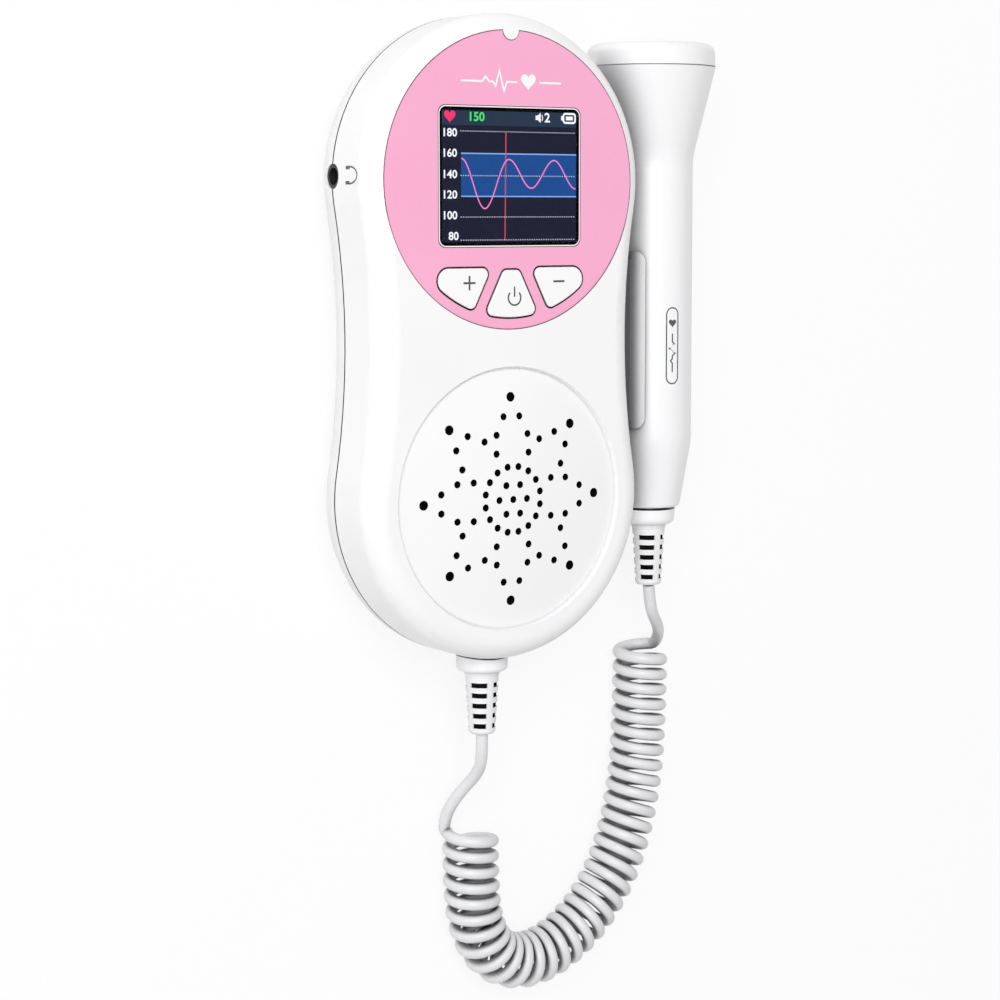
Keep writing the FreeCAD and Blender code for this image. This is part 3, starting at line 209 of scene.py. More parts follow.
finishes = {
    "shellWhite": {"tone": (0.868, 0.868, 0.874), "drift": (0.852, 0.852, 0.862), "roughness": (0.30, 0.40),
                   "skin": 0.0035, "sockets": {"Coat Weight": 0.15, "Coat Roughness": 0.18},
                   # painted shade: near black on the shell's lower edge in the seam gap, and in its crevices
                   "shade": [(beyond("Z", 13.55, -1), (0.03, 0.03, 0.03)),
                             (creviceShade(1.2, 0.2, 0.75), (0.05, 0.05, 0.055))]},
    "backWhite": {"tone": (0.850, 0.850, 0.858), "drift": (0.832, 0.833, 0.842), "roughness": (0.38, 0.50),
                  "skin": 0.007, "speck": (0.78, 0.78, 0.79), "speckShare": 0.35,
                  # painted shade: near black on the lip above the seam, in the seam gap, and in the shell's
                  # own crevices
                  "shade": [(beyond("Z", 13.05), (0.03, 0.03, 0.03)),
                            (creviceShade(1.2, 0.15, 0.6, True), (0.08, 0.08, 0.085))]},
    "collarWhite": {"tone": (0.850, 0.850, 0.866), "drift": (0.835, 0.836, 0.852), "roughness": (0.32, 0.42),
                    # painted shade: near black where the collar meets the case, and darker in its crevices
                    "skin": 0.003, "shade": [(within(tailCentre, 35.7), (0.01, 0.01, 0.01)),
                                             (creviceShade(1.0), (0.1, 0.1, 0.1))]},
    "endCapWhite": {"tone": (0.858, 0.858, 0.866), "drift": (0.840, 0.841, 0.852), "roughness": (0.26, 0.36),
                    # painted shade: near black on the cap's top face, in the gap below the handle
                    "skin": 0.002, "shade": [(beyond("Y", -39.95), (0.012, 0.012, 0.012))]},
    "doorWhite": {"tone": (0.845, 0.845, 0.852), "drift": (0.825, 0.826, 0.836), "roughness": (0.36, 0.50),
                  "skin": 0.007, "speck": (0.77, 0.77, 0.78), "speckShare": 0.4,
                  # painted shade: darker in the door's own crevices
                  "shade": [(creviceShade(1.0, 0.15, 0.6, True), (0.08, 0.08, 0.085))]},
    "probeWhite": {"tone": (0.852, 0.852, 0.862), "drift": (0.842, 0.843, 0.854), "roughness": (0.29, 0.32),
                   "patch": 30, "skin": 0.002, "sockets": {"Coat Weight": 0.1, "Coat Roughness": 0.2},
                   # painted shade: grey on the handle's upper side where the case shades it
                   "shade": [(both(creviceShade(10, 0.30, 0.88), beyond("Z", 12, 1, 4)), (0.22, 0.22, 0.225))]},
    "dockWhite": {"tone": (0.835, 0.836, 0.845), "drift": (0.815, 0.817, 0.828), "roughness": (0.30, 0.42),
                  "skin": 0.004, "sockets": {"Coat Weight": 0.1, "Coat Roughness": 0.2},
                  # painted shade: dark grey where the case shades the dock, darkest on its side next to the
                  # case
                  "shade": [(both(creviceShade(12, 0.25, 0.85), beyond("Z", 14, 1, 4)), (0.10, 0.10, 0.105)),
                            (beyond("X", 37.9, -1, 1.6), (0.07, 0.07, 0.075))]},
    "keyWhite": {"tone": (0.880, 0.880, 0.884), "drift": (0.862, 0.862, 0.868), "roughness": (0.36, 0.46),
                 "patch": 9, "smear": 3, "grain": 0.15, "skin": 0.003,
                 # painted shade: near black in the gaps round the keys
                 "shade": [(creviceShade(0.8, 0.3, 0.95), (0.008, 0.008, 0.008))]},
    "bootRubber": {"tone": (0.800, 0.800, 0.812), "drift": (0.770, 0.771, 0.784), "roughness": (0.50, 0.64),
                   "patch": 6, "smear": 2.5, "grain": 0.12, "skin": 0.008,
                   "sockets": {"Sheen Weight": 0.15, "Sheen Roughness": 0.5},
                   # painted shade: darker in the boot's crevices and slots
                   "shade": [(creviceShade(0.8, 0.15, 0.7), (0.05, 0.05, 0.05))]},
    "socketBlack": {"tone": (0.012, 0.012, 0.013), "drift": (0.020, 0.020, 0.021), "roughness": (0.35, 0.5)},
    "screwSteel": {"tone": (0.42, 0.42, 0.44), "drift": (0.34, 0.34, 0.36), "roughness": (0.28, 0.42),
                   "patch": 2, "smear": 0.6, "grain": 0.08, "skin": 0.003, "sockets": {"Metallic": 1.0}},
    "glassBlack": {"tone": (0.006, 0.006, 0.007), "drift": (0.009, 0.009, 0.010), "roughness": (0.10, 0.16),
                   "skin": 0.0005, "wave": 0.001},
    "carrierBlack": {"tone": (0.02, 0.02, 0.022), "drift": (0.03, 0.03, 0.032), "roughness": (0.45, 0.6)},
    "boardGreen": {"tone": (0.012, 0.12, 0.045), "drift": (0.016, 0.15, 0.055), "roughness": (0.3, 0.42),
                   "patch": 4, "speck": (0.25, 0.5, 0.3), "speckWidth": 0.8, "speckShare": 0.3},
    "stemGrey": {"tone": (0.30, 0.30, 0.31), "drift": (0.26, 0.26, 0.27), "roughness": (0.45, 0.6)},
    "paperBlack": {"tone": (0.022, 0.022, 0.024), "drift": (0.036, 0.036, 0.038), "roughness": (0.75, 0.9),
                   "patch": 3, "grain": 0.3, "skin": 0.03},
    "foamBlack": {"tone": (0.014, 0.014, 0.015), "drift": (0.024, 0.024, 0.026), "roughness": (0.9, 1.0),
                  "patch": 2, "grain": 0.35, "skin": 0.08},
    "basketSteel": {"tone": (0.50, 0.50, 0.51), "drift": (0.42, 0.42, 0.43), "roughness": (0.3, 0.45),
                    "patch": 6, "sockets": {"Metallic": 1.0}},
    "nickel": {"tone": (0.60, 0.58, 0.54), "drift": (0.52, 0.50, 0.46), "roughness": (0.2, 0.34),
               "patch": 3, "sockets": {"Metallic": 1.0}},
    "cellWrap": {"tone": (0.10, 0.11, 0.13), "drift": (0.13, 0.14, 0.16), "roughness": (0.22, 0.34),
                 "patch": 12},
    "sealGrey": {"tone": (0.42, 0.42, 0.43), "drift": (0.36, 0.36, 0.37), "roughness": (0.55, 0.7)},
    "discCeramic": {"tone": (0.58, 0.55, 0.46), "drift": (0.50, 0.47, 0.40), "roughness": (0.4, 0.55),
                    "patch": 2},
    "signGrey": {"tone": (0.055, 0.055, 0.06), "drift": (0.10, 0.10, 0.105), "roughness": (0.4, 0.55),
                 "patch": 1},
    "signWhite": {"tone": (0.90, 0.90, 0.90), "drift": (0.86, 0.86, 0.87), "roughness": (0.35, 0.5),
                  "patch": 2},
    "holeBlack": {"tone": (0.004, 0.004, 0.004), "drift": (0.007, 0.007, 0.007), "roughness": (0.8, 0.95),
                  "patch": 1, "grain": 0.2, "skin": 0.01, "sockets": {"Specular IOR Level": 0.0}},
    # painted shade: the grey of the cap seam's shade line
    "capSeamShadeGrey": {"tone": (0.36, 0.36, 0.37), "drift": (0.30, 0.30, 0.31), "roughness": (0.5, 0.6),
                    "patch": 3},
    "backingResin": {"tone": (0.06, 0.065, 0.075), "drift": (0.09, 0.095, 0.1), "roughness": (0.35, 0.5)},
}

nodeFinish = {
    "front_shell": "shellWhite", "cord_collar": "collarWhite", "back_shell": "backWhite",
    "battery_door": "doorWhite", "probe_handle": "probeWhite", "probe_end_cap": "endCapWhite",
    "probe_dock": "dockWhite", "plus_key": "keyWhite", "power_key": "keyWhite", "minus_key": "keyWhite",
    "unit_boot": "bootRubber", "probe_boot": "bootRubber", "headphone_socket": "socketBlack",
    "case_screws": "screwSteel", "board_screws": "screwSteel", "dock_screws": "screwSteel",
    "display_module": "glassBlack", "display_carrier": "carrierBlack", "main_board": "boardGreen",
    "probe_board": "boardGreen", "key_switches": "carrierBlack", "plus_switch_stem": "stemGrey",
    "power_switch_stem": "stemGrey", "minus_switch_stem": "stemGrey", "speaker_cone": "paperBlack",
    "speaker_gasket": "foamBlack", "speaker_frame": "basketSteel", "speaker_magnet": "nickel",
    "dock_magnets": "nickel", "dock_keeper": "nickel", "battery_contacts": "nickel",
    "battery_springs": "basketSteel", "batteries": "cellWrap", "head_seal": "sealGrey",
    "transducer_discs": "discCeramic", "transducer_backing": "backingResin",
}


def dress(node, material):
    slots = nodes[node].data.materials
    if slots:
        slots[0] = material
    else:
        slots.append(material)


materials = {name: moulded(name, look) for name, look in finishes.items()}
for node, name in nodeFinish.items():
    dress(node, materials[name])


# The pink plate, with painted shade in a fine darker line along its rim, where the gap to the case shades it.
plate = {"centre": headCentre, "rim": 31.05, "tone": (0.880, 0.395, 0.585), "drift": (0.865, 0.375, 0.570),
         "rimShade": (0.60, 0.20, 0.36)}


def plateMaterial():
    material, tree, shader = newMaterial("platePink")
    place = objectPlace(tree)
    broad = patches(tree, place, 26, 2)
    pearl = patches(tree, place, 0.35, 1)
    tone = mixed(tree, ranged(tree, broad, 0, 1), plate["tone"], plate["drift"])
    tone = mixed(tree, ranged(tree, pearl, 0, 0.25), tone, (0.92, 0.46, 0.64))
    # painted shade: the fine darker line along the rim
    reach = distanceFrom(tree, plate["centre"], "XY")
    edge = ranged(tree, reach, 0, 1, plate["rim"] * mm, (plate["rim"] + 0.2) * mm)
    tone = mixed(tree, edge, tone, plate["rimShade"])
    # painted shade: near black in the gaps round the keys and at the plate's edge
    tone = mixed(tree, creviceShade(0.8, 0.3, 0.95)(tree), tone, (0.02, 0.008, 0.012))
    tree.links.new(tone, shader.inputs["Base Color"])
    tree.links.new(ranged(tree, patches(tree, place, 8, 4), 0.26, 0.34), shader.inputs["Roughness"])
    bumped(tree, shader, [(patches(tree, place, 0.18, 1), 0.0015)])
    shader.inputs["Coat Weight"].default_value = 0.25
    shader.inputs["Coat Roughness"].default_value = 0.12
    return material


def windowMaterial():
    material, tree, shader = newMaterial("windowClear")
    place = objectPlace(tree)
    tree.links.new(ranged(tree, patches(tree, place, 6, 4), 0.015, 0.035), shader.inputs["Roughness"])
    tree.links.new(mixed(tree, patches(tree, place, 10), (0.97, 0.975, 0.98), (0.99, 0.99, 0.99)),
                   shader.inputs["Base Color"])
    shader.inputs["Transmission Weight"].default_value = 1.0
    shader.inputs["IOR"].default_value = 1.1
    return material


def capMaterial():
    # the sensing face carries two faint moulded rings
    material, tree, shader = newMaterial("capWhite")
    place = objectPlace(tree)
    broad = ranged(tree, patches(tree, place, 14), 0, 1)
    tone = mixed(tree, broad, (0.842, 0.842, 0.850), (0.830, 0.831, 0.840))
    # painted shade: grey on the cap's upper side where the case shades it
    near = both(creviceShade(10, 0.30, 0.88), beyond("Z", 12, 1, 4))
    tone = mixed(tree, near(tree), tone, (0.22, 0.22, 0.225))
    tree.links.new(tone, shader.inputs["Base Color"])
    reach = distanceFrom(tree, probeAxis, "XZ")
    inner = ranged(tree, reach, 0, 1, 9.6 * mm, 9.8 * mm)
    outer = ranged(tree, reach, 1, 0, 10.2 * mm, 10.4 * mm)
    groove = combined(tree, "MULTIPLY", inner, outer)
    smear = patches(tree, place, 5, 4)
    tree.links.new(ranged(tree, smear, 0.28, 0.32), shader.inputs["Roughness"])
    bumped(tree, shader, [(groove, -0.12), (patches(tree, place, 0.2), 0.002)])
    shader.inputs["Coat Weight"].default_value = 0.1
    shader.inputs["Coat Roughness"].default_value = 0.2
    return material


dress("face_plate", plateMaterial())
dress("display_window", windowMaterial())
dress("probe_head_cap", capMaterial())
print("finishes given to", len(nodeFinish) + 3, "moulded parts")


# Making pieces.

def addPiece(name, mesh, body, material=None):
    if material:
        mesh.materials.clear()
        mesh.materials.append(material)
    piece = bpy.data.objects.new(name, mesh)
    scene.collection.objects.link(piece)
    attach(piece, body)
    return piece


def evaluatedMesh(source):
    depsgraph = bpy.context.evaluated_depsgraph_get()
    return bpy.data.meshes.new_from_object(source.evaluated_get(depsgraph), depsgraph=depsgraph,
                                           preserve_all_data_layers=True)


def nodeTree(name, sizes):
    # a Geometry Nodes tree with named inputs; sizes are (name, socket type, value)
    tree = bpy.data.node_groups.new(name, "GeometryNodeTree")
    tree.interface.new_socket("Geometry", in_out="INPUT", socket_type="NodeSocketGeometry")
    for label, kind, value in sizes:
        socket = tree.interface.new_socket(label, in_out="INPUT", socket_type=kind)
        if value is not None:
            socket.default_value = value
    tree.interface.new_socket("Geometry", in_out="OUTPUT", socket_type="NodeSocketGeometry")
    return tree, tree.nodes.new("NodeGroupInput"), tree.nodes.new("NodeGroupOutput")


def runTree(source, tree, values):
    # gives the plain mesh that the tree makes of source, and takes the tree off again
    modifier = source.modifiers.new(tree.name, "NODES")
    modifier.node_group = tree
    for item in tree.interface.items_tree:
        if item.in_out == "INPUT" and item.name in values:
            modifier[item.identifier] = values[item.name]
    mesh = evaluatedMesh(source)
    source.modifiers.remove(modifier)
    return mesh


# The curly cord: a straight lead out of each boot and a long coil between them.
cord = {
    "wire": 2.7,            # diameter, millimetres
    "coilReach": 5.17,      # from the middle of the coil to the middle of the wire
    "turns": 35.07,
    "pointsPerTurn": 16,
    "firstAngle": -35.0,    # degrees up from the outer side of the bend, where the lead joins the coil
    "sides": 14,            # of the round wire
    "tone": (0.720, 0.720, 0.734),
    "drift": (0.690, 0.691, 0.705),
}
coilHeight = 6.45
unitLeadRoute = [(0.0, -86.55, 16.3), (0.0, -90.6, 16.3), (0.6, -94.2, 14.9), (1.0, -97.0, 12.3),
                 (0.1, -100.1, 9.3), (-1.2, -103.4, 6.8), (-1.9, -107.0, 4.5), (-1.8, -110.7, 3.3)]
coilRoute = [(3.3, -111.6), (3.3, -123.4), (4.7, -134.0), (9.7, -141.6), (18.9, -144.2), (29.2, -140.6),
             (38.1, -133.2), (44.9, -122.3), (49.2, -107.1), (50.6, -90.5), (50.8, -73.6)]
probeLeadRoute = [(54.7, -70.7, 8.5), (52.2, -67.9, 11.2), (49.1, -65.1, 13.4), (47.1, -61.8, 15.0),
                  (46.3, -57.7, 15.5)]


def smoothLine(name, points, steps):
    data = bpy.data.curves.new(name, "CURVE")
    data.dimensions = "3D"
    spline = data.splines.new("NURBS")
    spline.points.add(len(points) - 1)
    for point, where in zip(spline.points, points):
        point.co = (*where, 1)
    spline.order_u, spline.use_endpoint_u = 3, True
    spline.resolution_u = data.resolution_u = steps
    line = bpy.data.objects.new(name, data)
    scene.collection.objects.link(line)
    return line


def pointsOf(line):
    mesh = evaluatedMesh(line)
    points = [vertex.co.copy() for vertex in mesh.vertices]
    bpy.data.meshes.remove(mesh)
    return points


def coilPoints(centre, sizes):
    # turns about a line that lies flat, evenly spaced along it
    lengths = [0.0]
    for before, after in zip(centre, centre[1:]):
        lengths.append(lengths[-1] + (after - before).length)
    whole = lengths[-1]

    def along(distance):
        index = 0
        while index < len(centre) - 2 and lengths[index + 1] < distance:
            index += 1
        step = centre[index + 1] - centre[index]
        return centre[index] + step * ((distance - lengths[index]) / step.length), step.normalized()

    count = int(sizes["turns"] * sizes["pointsPerTurn"])
    points = []
    for index in range(count + 1):
        turned = index / sizes["pointsPerTurn"]
        angle = math.radians(sizes["firstAngle"]) + 2 * math.pi * turned
        middle, ahead = along(whole * index / count)
        side = ahead.cross(Vector((0, 0, 1)))
        out = side * math.cos(angle) + Vector((0, 0, math.sin(angle)))
        points.append(middle + sizes["coilReach"] * mm * out)
    return points


def cordMaterial():
    material, tree, shader = newMaterial("cordJacket")
    where = objectPlace(tree)
    run = addNode(tree, "ShaderNodeAttribute", attribute_name="alongCord").outputs["Fac"]
    rings = addNode(tree, "ShaderNodeTexNoise", {"W": run, "Scale": 160.0, "Detail": 3.0},
                    noise_dimensions="1D").outputs["Fac"]
    tone = mixed(tree, ranged(tree, rings, 0, 1), cord["tone"], cord["drift"])
    dust = patches(tree, where, 0.4, 1)
    tone = mixed(tree, ranged(tree, dust, 0, 0.3, 0.6, 0.75), tone, (0.60, 0.60, 0.62))
    # painted shade: near black between the turns of the coil and inside it
    tone = mixed(tree, creviceShade(7.0, 0.42, 0.80, True)(tree), tone, (0.012, 0.012, 0.013))
    tree.links.new(tone, shader.inputs["Base Color"])
    tree.links.new(ranged(tree, patches(tree, where, 3, 3), 0.34, 0.46), shader.inputs["Roughness"])
    bumped(tree, shader, [(rings, 0.01), (patches(tree, where, 0.12), 0.003)])
    shader.inputs["Coat Weight"].default_value = 0.1
    shader.inputs["Coat Roughness"].default_value = 0.3
    return material


def sweepTree():
    # a round jacket along a line, which keeps the distance along it for the material
    tree, start, end = nodeTree("sweepJacket", [("Wire", "NodeSocketFloat", 2.6 * mm),
                                                ("Sides", "NodeSocketInt", 14),
                                                ("Jacket", "NodeSocketMaterial", None)])
    half = combined(tree, "MULTIPLY", start.outputs["Wire"], 0.5)
    ring = addNode(tree, "GeometryNodeCurvePrimitiveCircle",
                   {"Resolution": start.outputs["Sides"], "Radius": half})
    run = addNode(tree, "GeometryNodeSplineParameter")
    kept = addNode(tree, "GeometryNodeStoreNamedAttribute", {"Geometry": start.outputs["Geometry"],
                   "Name": "alongCord", "Value": run.outputs["Length"]}, data_type="FLOAT", domain="POINT")
    tube = addNode(tree, "GeometryNodeCurveToMesh",
                   {"Curve": kept.outputs[0], "Profile Curve": ring.outputs[0], "Fill Caps": True})
    real = addNode(tree, "GeometryNodeRealizeInstances", {"Geometry": tube.outputs[0]})
    smooth = addNode(tree, "GeometryNodeSetShadeSmooth", {"Geometry": real.outputs[0]})
    dressed = addNode(tree, "GeometryNodeSetMaterial", {"Geometry": smooth.outputs[0],
                                                        "Material": start.outputs["Jacket"]})
    tree.links.new(dressed.outputs[0], end.inputs["Geometry"])
    return tree


def makeCord():
    centreLine = smoothLine("coilMiddle", [(x * mm, y * mm, coilHeight * mm) for x, y in coilRoute], 24)
    turns = coilPoints(pointsOf(centreLine), cord)
    bpy.data.objects.remove(centreLine)
    lead, tail = ([Vector(point) * mm for point in route] for route in (unitLeadRoute, probeLeadRoute))
    line = smoothLine("cordLine", lead + turns + tail, 3)
    path = pointsOf(line)
    values = {"Wire": cord["wire"] * mm, "Sides": cord["sides"], "Jacket": cordMaterial()}
    mesh = runTree(line, sweepTree(), values)
    bpy.data.objects.remove(line)
    piece = bpy.data.objects.new("curlyCord", mesh)
    scene.collection.objects.link(piece)
    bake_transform(piece)
    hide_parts("cord_unit_lead", "cord_coil", "cord_probe_lead")


makeCord()


# Flat prints: outlines and strokes as thin slabs, each with its ink.

def newDrawing():
    return {"verts": [], "faces": [], "inks": []}


def addSlab(drawing, outline, low, high, ink=(1, 1, 1)):
    first, count = len(drawing["verts"]), len(outline)
    drawing["verts"] += [(x, y, z) for z in (low, high) for x, y in outline]
    drawing["inks"] += [ink] * (2 * count)
    drawing["faces"].append([first + count + index for index in range(count)])
    drawing["faces"].append([first + index for index in reversed(range(count))])
    for index in range(count):
        after = (index + 1) % count
        drawing["faces"].append([first + index, first + after, first + count + after, first + count + index])


def addStroke(drawing, points, width, low, high, ink=(1, 1, 1), closed=False):
    # a line of even width through the points
    count = len(points)
    first = len(drawing["verts"])
    for index, (x, y) in enumerate(points):
        before = points[index - 1] if index or closed else points[0]
        after = points[(index + 1) % count] if index < count - 1 or closed else points[-1]
        into = Vector((x - before[0], y - before[1])).normalized() if (x, y) != before else None
        out = Vector((after[0] - x, after[1] - y)).normalized() if (x, y) != after else None
        into, out = into or out, out or into
        ahead = (into + out).normalized()
        side = Vector((-ahead.y, ahead.x)) * width / 2 / max(0.35, ahead.dot(out))
        for z in (low, high):
            for sign in (1, -1):
                drawing["verts"].append((x + sign * side.x, y + sign * side.y, z))
                drawing["inks"].append(ink)
    for index in range(count if closed else count - 1):
        here, there = first + 4 * index, first + 4 * ((index + 1) % count)
        for a, b in ((1, 0), (3, 1), (2, 3), (0, 2)):
            drawing["faces"].append([here + a, there + a, there + b, here + b])
    if not closed:
        last = first + 4 * (count - 1)
        drawing["faces"].append([first, first + 2, first + 3, first + 1])
        drawing["faces"].append([last, last + 1, last + 3, last + 2])


def addLetters(drawing, words, x, y, height, low, ink):
    # plain figures, set from their lower left corner
    data = bpy.data.curves.new("figures", "FONT")
    data.body, data.extrude, data.resolution_u, data.offset = words, 0.01, 3, 0.022
    holder = bpy.data.objects.new("figures", data)
    scene.collection.objects.link(holder)
    mesh = evaluatedMesh(holder)
    bpy.data.objects.remove(holder)
    left = min(vertex.co.x for vertex in mesh.vertices)
    foot = min(vertex.co.y for vertex in mesh.vertices)
    scale = height / (max(vertex.co.y for vertex in mesh.vertices) - foot)
    first = len(drawing["verts"])
    for vertex in mesh.vertices:
        drawing["verts"].append((x + (vertex.co.x - left) * scale * 1.08, y + (vertex.co.y - foot) * scale,
                                 low + (vertex.co.z + 0.01) * 0.3))
        drawing["inks"].append(ink)
    drawing["faces"] += [[first + index for index in face.vertices] for face in mesh.polygons]
    bpy.data.meshes.remove(mesh)


def drawn(name, drawing, bend=None):
    # the drawing as a mesh in metres; bend lays it on a curved surface
    bend = bend or (lambda x, y, z: (x, y, z))
    mesh = bpy.data.meshes.new(name)
    mesh.from_pydata([Vector(bend(*vert)) * mm for vert in drawing["verts"]], [], drawing["faces"])
    ink = mesh.attributes.new("ink", "FLOAT_COLOR", "POINT")
    for item, value in zip(ink.data, drawing["inks"]):
        item.color = (*value, 1)
    mesh.update()
    return mesh


def arcPoints(centre, radius, start, stop, count):
    return [(centre[0] + radius[0] * math.cos(math.radians(start + (stop - start) * index / count)),
             centre[1] + radius[1] * math.sin(math.radians(start + (stop - start) * index / count)))
            for index in range(count + 1)]


def roundedBox(left, foot, right, top, corner, steps=6):
    points = []
    for x, y, start in ((right - corner, top - corner, 0), (left + corner, top - corner, 90),
                        (left + corner, foot + corner, 180), (right - corner, foot + corner, 270)):
        points += arcPoints((x, y), (corner, corner), start, start + 90, steps)
    return points


def heartShape(x, y, size):
    points = []
    for index in range(36):
        turn = 2 * math.pi * index / 36
        points.append((x + size * math.sin(turn) ** 3,
                       y + size * (0.8125 * math.cos(turn) - 0.3125 * math.cos(2 * turn)
                                   - 0.125 * math.cos(3 * turn) - 0.0625 * math.cos(4 * turn))))
    return points[::-1]


def paint(red, green, blue):
    # a tone read as 0 to 255, made linear
    return tuple((value / 255) ** 2.2 for value in (red, green, blue))


# The display's picture, seen through the window: a heart-rate trace over a shaded band.
picture = {
    "window": (-17.72, 20.20, 17.52, 48.90), "corner": 1.5,
    "frame": (-16.78, 20.90, 17.30, 48.20), "z": 27.11,
    "ground": paint(36, 38, 54), "header": paint(46, 58, 78), "band": paint(36, 78, 142),
    "bandEdge": paint(135, 175, 235), "white": paint(248, 250, 254), "dots": paint(215, 222, 235),
    "green": paint(70, 230, 110), "red": paint(215, 80, 95), "heart": paint(245, 60, 110),
    "traceInk": paint(245, 130, 200), "glow": 1.08,
    "headerFoot": 45.15, "bandTop": 39.35, "bandFoot": 30.45, "graphLeft": -12.1,
    "rows": [43.95, 34.75, 26.15, 21.35], "dotsInRow": 49, "dot": 0.13,
    "labels": [("180", 43.55), ("160", 39.35), ("140", 34.95), ("120", 30.75), ("100", 26.45), ("80", 22.15)],
    "trace": [(-12.0, 38.3), (-6.2, 27.9), (-0.1, 38.2), (5.6, 32.2), (11.5, 38.1), (17.1, 32.1)],
    "stepsPerWave": 14, "traceLine": 0.28, "edgeHalf": 0.13, "cursor": [(-1.1, 21.3), (-0.82, 44.1)],
    "heartPlace": (-14.85, 47.05, 1.42), "rate": ("150", -9.9, 46.0, 1.95), "volume": ("2", 9.05, 46.1, 2.0),
    "horn": [(6.75, 46.55), (7.3, 46.55), (8.05, 45.95), (8.05, 48.1), (7.3, 47.5), (6.75, 47.5)],
    "sound": ((7.95, 47.02), (0.6, 0.8), -50, 50, 8),
    "cell": (13.95, 46.1, 17.0, 48.0, 0.5), "cellTip": (13.35, 46.6, 13.8, 47.5),
    "charge": (14.6, 46.65, 16.4, 47.45),
}


def inkMaterial():
    # lit cells of the display, with the fine screen of its pixels
    material, tree, shader = newMaterial("displayInk")
    place = objectPlace(tree)
    ink = addNode(tree, "ShaderNodeAttribute", attribute_name="ink").outputs["Color"]
    cells = patches(tree, place, 0.2, 0)
    dimmed = addNode(tree, "ShaderNodeMix", data_type="RGBA", blend_type="MULTIPLY")
    dimmed.inputs[0].default_value = 1.0
    tree.links.new(ink, dimmed.inputs[6])
    tree.links.new(mixed(tree, ranged(tree, cells, 0, 1), (1, 1, 1), (0.90, 0.90, 0.92)), dimmed.inputs[7])
    tree.links.new(dimmed.outputs[2], shader.inputs["Emission Color"])
    unlit = mixed(tree, cells, (0.002, 0.002, 0.003), (0.004, 0.004, 0.005))
    tree.links.new(unlit, shader.inputs["Base Color"])
    shader.inputs["Emission Strength"].default_value = picture["glow"]
    tree.links.new(ranged(tree, cells, 0.3, 0.4), shader.inputs["Roughness"])
    shader.inputs["Specular IOR Level"].default_value = 0.0
    return material


def dotTree():
    # rows of small dots: one row from each point of the source
    tree, start, end = nodeTree("dotRows", [("Count", "NodeSocketInt", 60),
                                            ("Pitch", "NodeSocketFloat", 0.5 * mm),
                                            ("Dot", "NodeSocketFloat", 0.1 * mm),
                                            ("Ink", "NodeSocketColor", None),
                                            ("Cells", "NodeSocketMaterial", None)])
    step = addNode(tree, "ShaderNodeCombineXYZ", {"X": start.outputs["Pitch"]})
    row = addNode(tree, "GeometryNodeMeshLine", {"Count": start.outputs["Count"], "Offset": step.outputs[0]})
    rows = addNode(tree, "GeometryNodeInstanceOnPoints",
                   {"Points": start.outputs["Geometry"], "Instance": row.outputs[0]})
    spots = addNode(tree, "GeometryNodeRealizeInstances", {"Geometry": rows.outputs[0]})
    dot = addNode(tree, "GeometryNodeMeshCylinder", {"Vertices": 8, "Radius": start.outputs["Dot"],
                                                     "Depth": 0.004 * mm})
    dots = addNode(tree, "GeometryNodeInstanceOnPoints",
                   {"Points": spots.outputs[0], "Instance": dot.outputs[0]})
    real = addNode(tree, "GeometryNodeRealizeInstances", {"Geometry": dots.outputs[0]})
    inked = addNode(tree, "GeometryNodeStoreNamedAttribute", {"Geometry": real.outputs[0], "Name": "ink",
                    "Value": start.outputs["Ink"]}, data_type="FLOAT_COLOR", domain="POINT")
    dressed = addNode(tree, "GeometryNodeSetMaterial", {"Geometry": inked.outputs[0],
                                                        "Material": start.outputs["Cells"]})
    tree.links.new(dressed.outputs[0], end.inputs["Geometry"])
    return tree


def pointCloud(name, points):
    mesh = bpy.data.meshes.new(name)
    mesh.from_pydata([Vector(point) * mm for point in points], [], [])
    holder = bpy.data.objects.new(name, mesh)
    scene.collection.objects.link(holder)
    return holder


